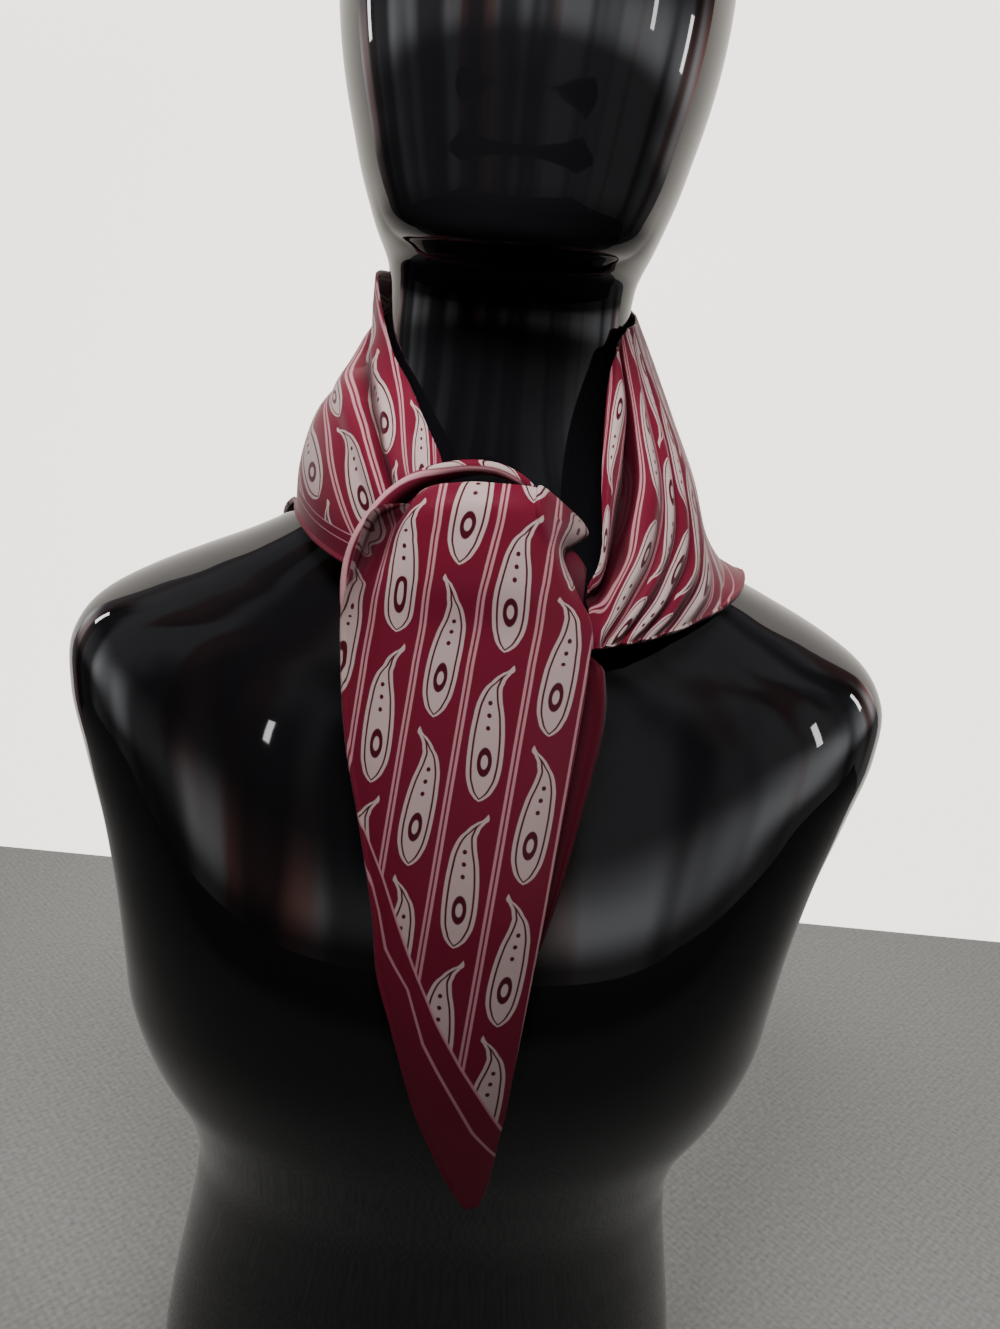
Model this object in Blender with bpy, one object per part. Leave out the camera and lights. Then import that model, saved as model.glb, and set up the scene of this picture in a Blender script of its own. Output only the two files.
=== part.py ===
"""A folded silk square worn on a limbless display bust, as closed solids.

Design frame in millimetres: x to the viewer's right, y away from the viewer,
z up, with z = 0 at the height of the jaw.  The solids are written in metres
with the underside of the bust at z = 0.
"""
import math

import bpy
import numpy as np
from mathutils import Vector
from mathutils.bvhtree import BVHTree

# driving dimensions, mm
BASE_DROP = 600.0        # from the design zero down to the underside of the bust
Y_CENTRE = -5.2          # middle of the whole model along y
WALL = 2.0               # wall of the folded silk, two layers
SEAM = 0.6               # gap left between neighbouring stretches
REST = 0.5               # gap between the silk and the bust
HEM = 0.5                # extra half thickness of the rolled hem
NECK_SIDE = 55.0         # half width of the neck
CHIN_DROP = 8.0          # how far the chin hangs below the sides of the jaw

# ring table of the bust: height, half width, front, back, roundness
RINGS = [
    (-600.0, 152.0, -92.0, 82.0, 2.5),
    (-569.0, 152.0, -95.0, 85.0, 2.5),
    (-530.0, 147.0, -98.0, 88.0, 2.5),
    (-484.0, 139.0, -100.0, 90.0, 2.5),
    (-440.0, 132.0, -103.0, 92.0, 2.5),
    (-410.0, 130.5, -107.0, 94.0, 2.5),
    (-376.0, 138.0, -115.0, 98.0, 2.5),
    (-345.0, 154.0, -123.0, 105.0, 2.5),
    (-315.0, 163.0, -129.0, 111.0, 2.5),
    (-288.0, 166.0, -131.0, 116.0, 2.5),
    (-257.0, 171.0, -127.5, 120.0, 2.5),
    (-228.0, 180.0, -120.0, 122.5, 2.4),
    (-198.0, 193.0, -108.5, 122.5, 2.3),
    (-170.0, 204.0, -96.0, 119.5, 2.2),
    (-147.0, 204.5, -85.0, 113.0, 2.1),
    (-129.0, 191.0, -74.5, 104.5, 2.1),
    (-115.0, 168.0, -66.0, 96.0, 2.05),
    (-103.0, 143.0, -60.0, 87.0, 2.0),
    (-92.0, 119.0, -56.5, 79.0, 2.0),
    (-80.0, 97.0, -54.0, 72.0, 2.0),
    (-66.0, 78.0, -52.0, 66.0, 2.0),
    (-50.0, 66.0, -50.5, 61.0, 2.0),
    (-32.0, 58.5, -49.5, 57.5, 2.0),
    (-12.0, 55.5, -49.0, 55.5, 2.0),
    (10.0, NECK_SIDE, -49.5, 55.0, 2.0),
    (30.0, NECK_SIDE, -52.0, 56.5, 2.0),
    (36.0, 55.9, -56.0, 57.8, 2.0),
    (40.5, 57.2, -66.0, 59.1, 2.0),
    (44.5, 58.7, -76.0, 60.6, 2.0),
    (49.5, 60.6, -82.5, 62.6, 2.0),
    (56.5, 63.1, -86.2, 65.6, 2.0),
    (67.0, 66.8, -89.0, 70.5, 2.0),
    (84.0, 71.5, -92.5, 79.0, 2.0),
    (105.0, 76.5, -97.0, 87.0, 2.0),
    (130.0, 80.0, -99.0, 93.0, 2.0),
    (155.0, 80.5, -97.0, 95.0, 2.0),
    (180.0, 77.5, -91.0, 91.0, 2.0),
    (203.0, 70.0, -80.0, 82.0, 2.0),
    (222.0, 58.0, -65.0, 68.0, 2.0),
    (236.0, 41.0, -45.0, 49.0, 2.0),
    (244.0, 21.0, -22.0, 27.0, 2.0),
]
CROWN = 246.5

# stations of the wrap from the knot on the viewer's left, round the nape, to
# the knot on the right: the angle from the front, then radius and height at
# the neck edge, three points between, the fall, and the hem
WRAP = [
    (-17.0, 64.5, -48.0, 67.5, -55.0, 70.0, -64.0, 72.0, -76.0, 73.0, -88.0, 73.5, -100.0),
    (-23.0, 61.0, -38.5, 67.5, -45.5, 73.5, -56.0, 77.5, -70.0, 80.0, -84.0, 80.5, -97.0),
    (-33.0, 57.0, -27.5, 66.0, -35.0, 75.0, -46.5, 81.5, -61.5, 85.0, -78.0, 85.5, -92.0),
    (-45.0, 54.8, -15.0, 64.0, -25.0, 75.0, -38.0, 83.0, -54.0, 87.5, -71.0, 87.3, -88.0),
    (-59.0, 55.2, -4.0, 62.5, -16.0, 75.0, -29.0, 84.0, -44.0, 89.0, -64.0, 88.7, -83.5),
    (-73.0, 56.0, 8.0, 62.0, -5.0, 74.5, -21.0, 85.0, -37.0, 90.5, -57.0, 91.0, -77.5),
    (-87.0, 59.0, 21.0, 62.5, 3.0, 74.0, -16.5, 84.5, -32.0, 90.5, -53.0, 92.5, -75.5),
    (-100.0, 63.5, 32.0, 65.0, 11.0, 73.0, -12.0, 85.0, -34.0, 94.0, -60.0, 99.0, -86.0),
    (-125.0, 66.5, 34.0, 69.0, 14.0, 75.0, -10.0, 88.0, -46.0, 106.0, -94.0, 122.0, -136.0),
    (-155.0, 67.0, 35.0, 71.0, 15.0, 77.0, -12.0, 92.0, -60.0, 115.0, -122.0, 127.5, -186.0),
    (-182.0, 66.0, 35.0, 71.0, 14.0, 77.0, -16.0, 93.0, -76.0, 118.0, -156.0, 127.0, -246.0),
    (-208.0, 65.5, 34.0, 70.5, 12.0, 77.0, -18.0, 94.0, -70.0, 117.5, -136.0, 127.5, -201.0),
    (-233.0, 62.5, 30.0, 69.0, 8.0, 77.0, -19.0, 92.0, -60.0, 111.0, -108.0, 130.0, -156.0),
    (-255.0, 58.0, 26.0, 67.0, 7.0, 77.5, -17.0, 91.0, -46.0, 107.0, -78.0, 126.0, -108.0),
    (-268.0, 57.0, 22.5, 67.5, 3.5, 79.5, -20.0, 92.0, -45.0, 104.0, -74.0, 123.0, -96.0),
    (-281.0, 56.5, 18.5, 67.5, -3.0, 81.0, -27.0, 93.0, -50.0, 102.5, -75.0, 117.5, -98.5),
    (-296.0, 55.5, 14.0, 69.0, -12.0, 83.0, -36.0, 94.5, -59.0, 103.0, -80.0, 110.5, -101.0),
    (-309.0, 58.5, -3.5, 72.0, -28.0, 85.0, -50.0, 94.5, -70.0, 101.5, -88.0, 106.0, -104.5),
    (-319.0, 69.5, -37.5, 79.5, -54.0, 88.0, -68.0, 95.0, -82.0, 100.0, -95.0, 103.0, -107.0),
    (-326.5, 85.5, -73.0, 89.5, -82.0, 92.5, -89.5, 95.0, -97.0, 97.5, -103.0, 99.0, -109.0),
    (-331.0, 90.0, -86.0, 91.5, -90.5, 93.0, -95.5, 94.5, -100.5, 96.0, -105.5, 97.0, -110.5),
]
# the folds of the right collar, counted from the neck edge: at each station the
# number of the fold line at shares 0, .1, .2, .35, .5, .65, .8 and 1 of the width
FOLD_SHARES = [0.0, 0.1, 0.2, 0.35, 0.5, 0.65, 0.8, 1.0]
FOLDS = [
    (12.4, 5.00, 5.40, 5.85, 6.60, 7.50, 8.60, 9.90, 12.00),
    (13.4, 6.60, 6.95, 7.30, 7.85, 8.50, 9.20, 10.00, 11.20),
    (14.2, 5.95, 6.28, 6.63, 7.15, 7.65, 8.20, 8.75, 9.46),
    (15.0, 4.43, 4.73, 5.08, 5.61, 6.04, 6.61, 7.19, 7.93),
    (15.6, 3.11, 3.45, 3.75, 4.32, 4.98, 5.54, 6.28, 7.43),
    (16.2, 1.75, 2.35, 2.80, 3.30, 3.90, 4.55, 5.49, 7.10),
    (16.8, 0.13, 0.91, 1.72, 2.30, 2.94, 3.78, 4.95, 6.52),
    (17.4, -0.20, 0.63, 1.28, 1.93, 2.39, 3.15, 4.20, 5.99),
    (18.0, -0.08, 0.62, 1.21, 1.79, 2.03, 2.77, 3.65, 5.11),
    (18.7, 0.19, 0.69, 1.17, 1.81, 2.01, 2.36, 2.95, 3.94),
    (20.0, 0.78, 1.14, 1.48, 1.93, 2.14, 2.09, 1.96, 1.78),
]
# share of the width at which the left collar's crease runs, at stations 0, 1, 2, 3,
# 4, 5.5 and 7
CREASE = [0.98, 0.70, 0.46, 0.31, 0.245, 0.238, 0.17]
LEFT_END = 7.0           # station where the left collar meets the back
RIGHT_END = 13.6         # station where the back meets the right collar

# the top of the hanging end, from behind the crest to where it hangs free,
# eight points across: beside the lip, valley, left ridge, three on the face,
# right ridge, and the turned flap
CREST = [
    [(-27, -77, -64), (-22, -75.5, -64), (-14, -74, -62.5), (-4, -74, -62.8),
     (7, -74, -63), (17, -74, -62.8), (25, -73, -62), (30, -71, -61.5)],
    [(-32, -80, -60.5), (-27, -78.5, -62), (-20, -78, -54.5), (-8, -77.5, -52.5),
     (6, -77.5, -52.5), (18, -76.5, -53), (26, -75, -54.5), (33, -71.5, -57.5)],
    [(-37.5, -83.8, -59.5), (-32, -82, -62), (-25.5, -84.5, -52.8), (-11, -84.5, -48.5),
     (5, -84.5, -47.5), (18, -83, -48), (26, -81, -50.5), (37, -72.5, -59.5)],
    [(-44, -87.2, -62.2), (-38, -83.8, -68.5), (-28.5, -90, -59), (-13, -91.5, -54.5),
     (4, -91.5, -53), (18, -89.5, -54), (27.5, -86, -57), (41.5, -73, -65)],
    [(-48.8, -91.3, -74.5), (-43.2, -88, -79.5), (-31, -94.5, -72), (-14, -96, -69),
     (4, -96, -67), (19, -94, -67), (29.5, -90, -71), (32, -84, -72)],
    [(-51.5, -94.3, -90), (-46.6, -94, -90.5), (-34, -98, -87), (-16, -99.5, -85),
     (5, -99.5, -83.5), (23, -97.5, -84), (35.5, -93, -84.5), (37, -90, -84)],
]
# edges of the hanging end below that: x, y, z on the left, then on the right,
# and how far the face stands out between them
TAIL = [
    (-53.3, -95.8, -104.0, 45.4, -94.6, -98.0, 5.5),
    (-52.0, -99.3, -120.0, 46.1, -98.5, -114.0, 5.5),
    (-47.4, -108.0, -150.0, 44.4, -106.5, -144.0, 5.0),
    (-38.3, -117.5, -184.0, 41.4, -116.0, -178.0, 4.5),
    (-29.7, -126.5, -220.0, 38.2, -125.3, -214.0, 4.0),
    (-25.7, -131.0, -244.0, 36.0, -130.0, -238.0, 3.5),
    (-19.0, -134.5, -263.0, 34.3, -133.5, -257.0, 3.0),
    (-10.8, -137.3, -288.0, 31.8, -137.0, -286.0, 2.4),
    (-5.9, -138.2, -302.0, 30.7, -138.0, -300.0, 1.8),
    (0.6, -138.7, -316.0, 28.9, -138.7, -314.0, 1.2),
    (7.5, -139.0, -330.0, 27.5, -139.0, -328.0, 0.7),
    (13.9, -139.0, -341.0, 25.7, -139.0, -339.0, 0.3),
    (19.0, -139.0, -347.3, 23.3, -139.0, -347.0, 0.1),
]
# the lip that runs from the left edge over the hollow behind the crest
LIP = [
    (-53.6, -92.6, -107.0),
    (-55.0, -91.4, -94.0),
    (-54.3, -89.3, -81.5),
    (-50.3, -87.6, -69.5),
    (-42.3, -83.6, -57.0),
    (-32.5, -79.5, -48.3),
    (-21.5, -76.0, -43.3),
    (-9.0, -73.0, -40.7),
    (3.0, -71.0, -41.2),
    (13.5, -69.5, -45.5),
    (21.0, -68.5, -52.0),
]
# the other end, hanging behind: left and right edges
REAR = [
    (-12.0, -76.6, -110.9, 36.0, -77.6, -111.3),
    (-24.0, -83.0, -116.0, 50.5, -88.5, -115.5),
    (-28.0, -89.0, -124.0, 53.5, -94.5, -123.0),
    (-22.0, -94.5, -140.0, 54.5, -99.5, -138.0),
    (-10.0, -102.5, -163.0, 51.5, -106.0, -160.0),
    (5.0, -109.5, -186.0, 47.5, -112.0, -183.0),
    (18.0, -117.0, -208.0, 43.0, -118.5, -206.0),
    (31.0, -123.5, -229.0, 37.5, -124.0, -228.5),
]
# the bound core of the knot: x, y, z of the middle, half depth, half height
CORE = [
    (-20.3, -76.8, -84.0, 3.5, 12.0),
    (-16.5, -76.5, -85.0, 7.5, 18.5),
    (-6.0, -75.0, -86.0, 10.0, 22.2),
    (8.0, -75.5, -87.0, 10.5, 23.2),
    (22.0, -76.5, -87.5, 10.0, 23.0),
    (32.0, -77.0, -89.0, 8.5, 20.0),
    (38.5, -76.5, -91.0, 6.5, 17.0),
    (42.4, -76.2, -92.0, 4.2, 13.0),
]


def smooth(knots, rows, at):
    """Values of a smooth curve through the rows at the asked positions."""
    knots = np.asarray(knots, float)
    rows = np.asarray(rows, float)
    at = np.clip(np.asarray(at, float), knots[0], knots[-1])
    step = np.diff(knots)
    shape = (-1,) + (1,) * (rows.ndim - 1)
    slope = np.diff(rows, axis=0) / step.reshape(shape)
    tangent = np.empty_like(rows)
    tangent[0] = slope[0]
    tangent[-1] = slope[-1]
    before = step[:-1].reshape(shape)
    after = step[1:].reshape(shape)
    tangent[1:-1] = (after * slope[:-1] + before * slope[1:]) / (before + after)
    cell = np.clip(np.searchsorted(knots, at, side="right") - 1, 0, len(step) - 1)
    width = step[cell].reshape(shape)
    t = ((at - knots[cell]) / step[cell]).reshape(shape)
    h00 = 2 * t ** 3 - 3 * t ** 2 + 1
    h10 = t ** 3 - 2 * t ** 2 + t
    h01 = 3 * t ** 2 - 2 * t ** 3
    h11 = t ** 3 - t ** 2
    return (h00 * rows[cell] + h10 * width * tangent[cell]
            + h01 * rows[cell + 1] + h11 * width * tangent[cell + 1])


def bump(value, centre, half):
    """A soft hill of height one around the centre."""
    t = np.clip(np.abs(value - centre) / half, 0.0, 1.0)
    return 0.5 + 0.5 * np.cos(math.pi * t)


def bust_rings(count, around):
    """Rings of points of the bust, bottom to top."""
    table = np.array(RINGS)
    heights = smooth(np.arange(len(table)), table[:, 0], np.linspace(0, len(table) - 1, count))
    rings = []
    for z in heights:
        _, half, front, back, power = smooth(table[:, 0], table, [z])[0]
        middle = 0.5 * (front + back)
        depth = 0.5 * (back - front)
        angle = np.linspace(0.0, 2 * math.pi, around, endpoint=False)
        c = np.cos(angle)
        s = np.sin(angle)
        x = half * np.sign(c) * np.abs(c) ** (2 / power)
        y = middle + depth * np.sign(s) * np.abs(s) ** (2 / power)
        chin = CHIN_DROP * bump(z, 49.0, 21.0) * np.clip((-y - 45.0) / 35.0, 0.0, 1.0)
        rings.append(np.stack([x, y, z - chin], axis=1))
    return np.array(rings)


def bust_mesh(count, around):
    rings = bust_rings(count, around)
    points = list(rings.reshape(-1, 3))
    faces = []
    for i in range(count - 1):
        for j in range(around):
            k = (j + 1) % around
            faces.append((i * around + j, i * around + k, (i + 1) * around + k, (i + 1) * around + j))
    foot = len(points)
    points.append(np.array([0.0, rings[0][:, 1].mean(), RINGS[0][0]]))
    crown = len(points)
    points.append(np.array([0.0, rings[-1][:, 1].mean(), CROWN]))
    last = (count - 1) * around
    for j in range(around):
        k = (j + 1) % around
        faces.append((foot, k, j))
        faces.append((crown, last + j, last + k))
    return np.array(points), faces


def bust_tree():
    points, faces = bust_mesh(120, 96)
    return BVHTree.FromPolygons([Vector(p) for p in points], faces)


def settle(points, tree, low, high=1.0e6):
    """Push points out of the bust to the low gap, and draw them in to the high one."""
    flat = points.reshape(-1, 3).copy()
    lows = np.broadcast_to(low, points.shape[:-1]).reshape(-1)
    highs = np.broadcast_to(high, points.shape[:-1]).reshape(-1)
    for _ in range(2):
        for i, p in enumerate(flat):
            near, normal, _, _ = tree.find_nearest(Vector(p))
            gap = (Vector(p) - near).dot(normal)
            aim = min(max(gap, lows[i]), highs[i])
            if aim != gap:
                flat[i] = near + normal * aim
    return flat.reshape(points.shape)


def normals(grid):
    along = np.gradient(grid, axis=0)
    across = np.gradient(grid, axis=1)
    n = np.cross(along, across)
    return n / np.maximum(np.linalg.norm(n, axis=2, keepdims=True), 1e-9)


def half_wall(shape, wall, hems):
    """Half thickness at each point of a grid, with a bead at the hems."""
    half = np.full(shape, 0.5 * wall)
    if "right" in hems:
        half[:, -1] += HEM
        half[:, -2] += 0.5 * HEM
    if "left" in hems:
        half[:, 0] += HEM
        half[:, 1] += 0.5 * HEM
    return half


def between(over, under, flat=()):
    """Closed solid between two grids; its edges are rounded but at flat ends."""
    rows, cols = over.shape[:2]
    grid = 0.5 * (over + under)
    half = 0.5 * np.linalg.norm(over - under, axis=2)
    points = list(over.reshape(-1, 3)) + list(under.reshape(-1, 3))
    size = rows * cols
    faces = []
    for i in range(rows - 1):
        for j in range(cols - 1):
            a = i * cols + j
            faces.append((a, a + cols, a + cols + 1, a + 1))
            faces.append((size + a, size + a + 1, size + a + cols + 1, size + a + cols))
    loop = [(0, j) for j in range(cols - 1)] + [(i, cols - 1) for i in range(rows - 1)]
    loop += [(rows - 1, j) for j in range(cols - 1, 0, -1)] + [(i, 0) for i in range(rows - 1, 0, -1)]
    rim = []
    for i, j in loop:
        di = (i == rows - 1) - (i == 0)
        dj = (j == cols - 1) - (j == 0)
        if (di < 0 and "first" in flat) or (di > 0 and "last" in flat):
            di = 0
        out = np.zeros(3)
        if di:
            step = grid[i, j] - grid[i - di, j]
            out += step / max(np.linalg.norm(step), 1e-9)
        if dj:
            step = grid[i, j] - grid[i, j - dj]
            out += step / max(np.linalg.norm(step), 1e-9)
        out /= max(np.linalg.norm(out), 1e-9)
        rim.append(len(points))
        points.append(grid[i, j] + out * 0.6 * half[i, j])
    for s, (i, j) in enumerate(loop):
        t = (s + 1) % len(loop)
        a = i * cols + j
        b = loop[t][0] * cols + loop[t][1]
        faces.append((a, b, rim[t], rim[s]))
        faces.append((rim[s], rim[t], size + b, size + a))
    return np.array(points), faces


def cut(grids, ends, seam):
    """Drop the spare rows beyond the seams and draw the end rows in by half a seam."""
    out = []
    for grid in grids:
        grid = grid.copy()
        if "first" in ends:
            grid = grid[1:]
        if "last" in ends:
            grid = grid[:-1]
        out.append(grid)
    middle = sum(out) / len(out)
    pull_first = middle[1] - middle[0]
    pull_first *= 0.5 * seam / np.linalg.norm(pull_first, axis=1, keepdims=True)
    pull_last = middle[-2] - middle[-1]
    pull_last *= 0.5 * seam / np.linalg.norm(pull_last, axis=1, keepdims=True)
    for grid in out:
        if "first" in ends:
            grid[0] += pull_first
        if "last" in ends:
            grid[-1] += pull_last
    return out


def shell(grid, wall, hems=(), seams=()):
    """Closed wall of even thickness; at a seam the grid has one spare row."""
    n = normals(grid)
    half = half_wall(grid.shape[:2], wall, hems)[..., None]
    over, under = cut([grid + n * half, grid - n * half], seams, SEAM)
    return between(over, under, seams)


def spread(first, last, rows, seams):
    """Even stations from first to last, with one spare beyond each seam."""
    step = (last - first) / (rows - 1)
    start = first - step if "first" in seams else first
    stop = last + step if "last" in seams else last
    return np.arange(start, stop + 0.5 * step, step)


def wrap_points(stations, across):
    """Middle surface of the wrap at the asked stations and shares of its width."""
    table = np.array(WRAP)
    angle = smooth(np.arange(len(table)), np.radians(table[:, 0]), stations)
    radius = smooth(np.arange(len(table)), table[:, 1::2], stations)
    height = smooth(np.arange(len(table)), table[:, 2::2], stations)
    shares = [0.0, 0.18, 0.38, 0.6, 0.8, 1.0]
    radius = smooth(shares, radius.T, across).T
    height = smooth(shares, height.T, across).T
    x = radius * np.sin(angle)[:, None]
    y = -radius * np.cos(angle)[:, None]
    return np.stack([x, y, height], axis=2)


def soft_folds(stations, across):
    """How far the broad folds of the left and the back stand out, mm."""
    s = np.asarray(stations)[:, None]
    u = np.asarray(across)[None, :]
    left = 1.0 - np.clip((s - 5.5) / 2.5, 0.0, 1.0)
    path = np.interp(s, [0.0, 1.0, 2.0, 3.0, 4.0, 5.5, 7.0], CREASE)
    crease = -3.6 * bump(u, path, 0.09) + 1.4 * bump(u, path + 0.13, 0.12)
    out = left * np.clip((s + 1.0) / 2.0, 0.3, 1.0) * crease
    back = bump(s, 10.3, 4.0)
    return out + back * 2.2 * np.cos(2 * math.pi * (2.2 * u + 0.25 * np.sin(s * 1.1)))


def fold_number(stations, across):
    """Which fold line of the right collar runs through each point."""
    table = np.array(FOLDS)
    rows = smooth(table[:, 0], table[:, 1:], stations)
    return smooth(FOLD_SHARES, rows.T, across).T


def gathers(stations, across):
    """Rolls and pleats of the right collar, and the floor that lies under them."""
    s = np.asarray(stations)[:, None]
    u = np.asarray(across)[None, :]
    fold = fold_number(stations, across)
    grow = np.clip((s - 13.6) / 2.2, 0.0, 1.0)
    grow = grow * grow * (3.0 - 2.0 * grow)
    near = np.clip((20.3 - s) / 2.2, 0.0, 1.0)
    rim = np.clip(u / 0.05, 0.0, 1.0)
    roll = 2.6 * bump(fold, 0.5, 0.7) - 7.0 * rim * bump(fold, 1.5, 0.52) + 2.4 * bump(fold, 2.4, 0.55)
    pleats = 1.5 * np.clip((fold - 2.9) / 0.5, 0.0, 1.0) * np.cos(2 * math.pi * (fold - 3.5))
    pleats = pleats * np.clip((1.02 - u) / 0.1, 0.0, 1.0) * np.clip((s - 14.8) / 1.4, 0.0, 1.0)
    top = grow * (roll * (0.25 + 0.75 * near) + pleats * (0.18 + 0.82 * near))
    deep = 8.0 * rim * bump(fold, 1.5, 1.1) * (0.2 + 0.8 * near)
    floor = -deep - 1.7 * np.clip((fold - 2.4) / 0.8, 0.0, 1.0) * (0.3 + 0.7 * near)
    return top, grow * floor


def outward(grid):
    """Unit normals of a wrap grid, turned away from the neck."""
    n = normals(grid)
    side = np.sign(np.sum(n[..., :2] * grid[..., :2], axis=2, keepdims=True))
    return n * side


def wrap_grid(stations, cols, tree):
    across = np.linspace(0.0, 1.0, cols)
    grid = wrap_points(stations, across)
    grid = grid + outward(grid) * soft_folds(stations, across)[..., None]
    low = 0.5 * WALL + REST + HEM * 0.5 + 2.2 * across ** 2
    return settle(grid, tree, np.broadcast_to(low, grid.shape[:2]))


def gathered(stations, cols, tree):
    """Outer and inner surface of the right collar."""
    across = np.linspace(0.0, 1.0, cols)
    grid = wrap_points(stations, across)
    low = 0.5 * WALL + REST + HEM * 0.5 + 2.2 * across ** 2
    grid = settle(grid, tree, np.broadcast_to(low, grid.shape[:2]))
    n = outward(grid)
    top, floor = gathers(stations, across)
    over = grid + n * (top + 0.5 * WALL)[..., None]
    under = grid + n * (floor - 0.5 * WALL)[..., None]
    under = settle(under, tree, REST + 0.25)
    over = settle(over, tree, REST + 0.25 + WALL)
    return over, under


def tail_rows():
    """Eight points across for each row of the hanging end."""
    rows = [np.array(row, float) for row in CREST]
    shares = [0.0, 0.07, 0.2, 0.38, 0.6, 0.8, 0.965, 1.0]
    for lx, ly, lz, rx, ry, rz, stand in TAIL:
        left = np.array([lx, ly, lz])
        right = np.array([rx, ry, rz])
        row = []
        for u in shares:
            p = left + (right - left) * u
            rise = 1.0 - (2 * u - 1.0) ** 4
            p = p + np.array([0.0, -stand * rise, -0.3 * stand * rise])
            row.append(p)
        rows.append(np.array(row))
    return np.array(rows)


def tail_grid(rows, cols):
    table = tail_rows()
    knots = [0.0]
    for a, b in zip(table[:-1], table[1:]):
        knots.append(knots[-1] + np.linalg.norm(b - a, axis=1).mean())
    knots = np.array(knots)
    share = np.linspace(0.0, 1.0, rows) ** 1.25
    grid = smooth(knots, table, share * knots[-1])
    shares = np.array([0.0, 0.07, 0.2, 0.38, 0.6, 0.8, 0.95, 1.0])
    return smooth(shares, grid.transpose(1, 0, 2), np.linspace(0, 1, cols)).transpose(1, 0, 2)


def rear_grid(rows, cols):
    table = np.array(REAR)
    at = np.linspace(0, len(table) - 1, rows)
    edges = smooth(np.arange(len(table)), table, at)
    u = np.linspace(0.0, 1.0, cols)[None, :, None]
    left = edges[:, None, :3]
    right = edges[:, None, 3:]
    grid = left + (right - left) * u
    grid[..., 1] -= 1.5 * np.sin(math.pi * u[..., 0]) * np.linspace(1, 0, rows)[:, None]
    return grid


def lip_grid(rows):
    """A strip that hangs behind the lip, its top edge the lip itself."""
    table = np.array(LIP)
    at = np.linspace(0, len(table) - 1, rows)
    top = smooth(np.arange(len(table)), table, at)
    steps = [(0.0, 0.0, 0.0), (1.0, 0.0, 2.6), (1.8, 0.3, 4.4), (2.4, 0.65, 5.4), (3.0, 1.0, 5.8)]
    grid = np.empty((rows, len(steps), 3))
    middle = np.array([-6.0, 0.0, -96.0])
    for i, p in enumerate(top):
        t = i / (rows - 1)
        inward = middle - p
        inward[1] = 0.0
        inward /= np.linalg.norm(inward)
        drop = 1.5 + 4.5 * math.sin(math.pi * min(1.0, t * 1.1)) ** 2
        for j, (near, share, back) in enumerate(steps):
            grid[i, j] = p + inward * (near + share * drop) + np.array([0.0, back, 0.0])
    return grid


def core_mesh(rows, around):
    table = np.array(CORE)
    at = np.linspace(0, len(table) - 1, rows)
    rings = smooth(np.arange(len(table)), table, at)
    points = []
    faces = []
    for x, y, z, deep, tall in rings:
        for k in range(around):
            a = 2 * math.pi * k / around
            points.append((x, y + deep * math.cos(a), z + tall * math.sin(a)))
    for i in range(rows - 1):
        for k in range(around):
            m = (k + 1) % around
            faces.append((i * around + k, i * around + m, (i + 1) * around + m, (i + 1) * around + k))
    faces.append(tuple(range(around - 1, -1, -1)))
    last = (rows - 1) * around
    faces.append(tuple(last + k for k in range(around)))
    return np.array(points), faces


def to_world(points):
    points = np.asarray(points, float).copy()
    points[:, 1] -= Y_CENTRE
    points[:, 2] += BASE_DROP
    return points * 0.001


def signed_volume(points, faces):
    total = 0.0
    for f in faces:
        for k in range(1, len(f) - 1):
            total += np.dot(points[f[0]], np.cross(points[f[k]], points[f[k + 1]]))
    return total / 6.0


def add(name, points, faces, colour, roughness):
    points = to_world(points)
    if signed_volume(points, faces) < 0:
        faces = [tuple(reversed(f)) for f in faces]
    mesh = bpy.data.meshes.new(name)
    mesh.from_pydata([tuple(p) for p in points], [], faces)
    mesh.update()
    material = bpy.data.materials.new(name + "_material")
    material.use_nodes = True
    shader = material.node_tree.nodes["Principled BSDF"]
    shader.inputs["Base Color"].default_value = colour + (1.0,)
    shader.inputs["Roughness"].default_value = roughness
    mesh.materials.append(material)
    item = bpy.data.objects.new(name, mesh)
    bpy.context.scene.collection.objects.link(item)
    return item


SILK = (0.19, 0.012, 0.035)
BLACK = (0.006, 0.006, 0.007)


def build():
    for item in list(bpy.data.objects):
        bpy.data.objects.remove(item, do_unlink=True)
    tree = bust_tree()
    points, faces = bust_mesh(40, 45)
    add("bust", points, faces, BLACK, 0.12)

    grid = wrap_grid(spread(0.0, LEFT_END, 25, ("last",)), 16, tree)
    add("collar_left", *shell(grid, WALL, ("right",), ("last",)), SILK, 0.45)
    ends = ("first", "last")
    grid = wrap_grid(spread(LEFT_END, RIGHT_END, 30, ends), 19, tree)
    add("collar_back", *shell(grid, WALL, ("right",), ends), SILK, 0.45)
    stations = np.interp(np.linspace(0.0, 1.0, 32), [0.0, 0.22, 0.8, 1.0], [RIGHT_END, 15.4, 18.2, 20.0])
    stations = np.append(RIGHT_END - 0.25, stations)
    over, under = gathered(stations, 41, tree)
    over, under = cut([over, under], ("first",), SEAM)
    add("collar_right", *between(over, under, ("first",)), SILK, 0.45)

    points, faces = core_mesh(14, 24)
    add("knot_core", points, faces, SILK, 0.45)
    add("tail_front", *shell(tail_grid(33, 18), WALL), SILK, 0.45)
    add("tail_lip", *shell(lip_grid(28), WALL, ("left",)), SILK, 0.45)
    add("tail_rear", *shell(rear_grid(14, 9), WALL, ("right",)), SILK, 0.45)


build()
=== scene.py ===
"""Looks of the silk scarf on its display bust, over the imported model.

The tables below are those of the part's source, in millimetres, in the design
frame: x to the viewer's right, y away from the viewer, z up from the jaw.
"""

import math

import bpy
import numpy as np
from mathutils import Matrix, Vector
from mathutils.bvhtree import BVHTree


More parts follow.
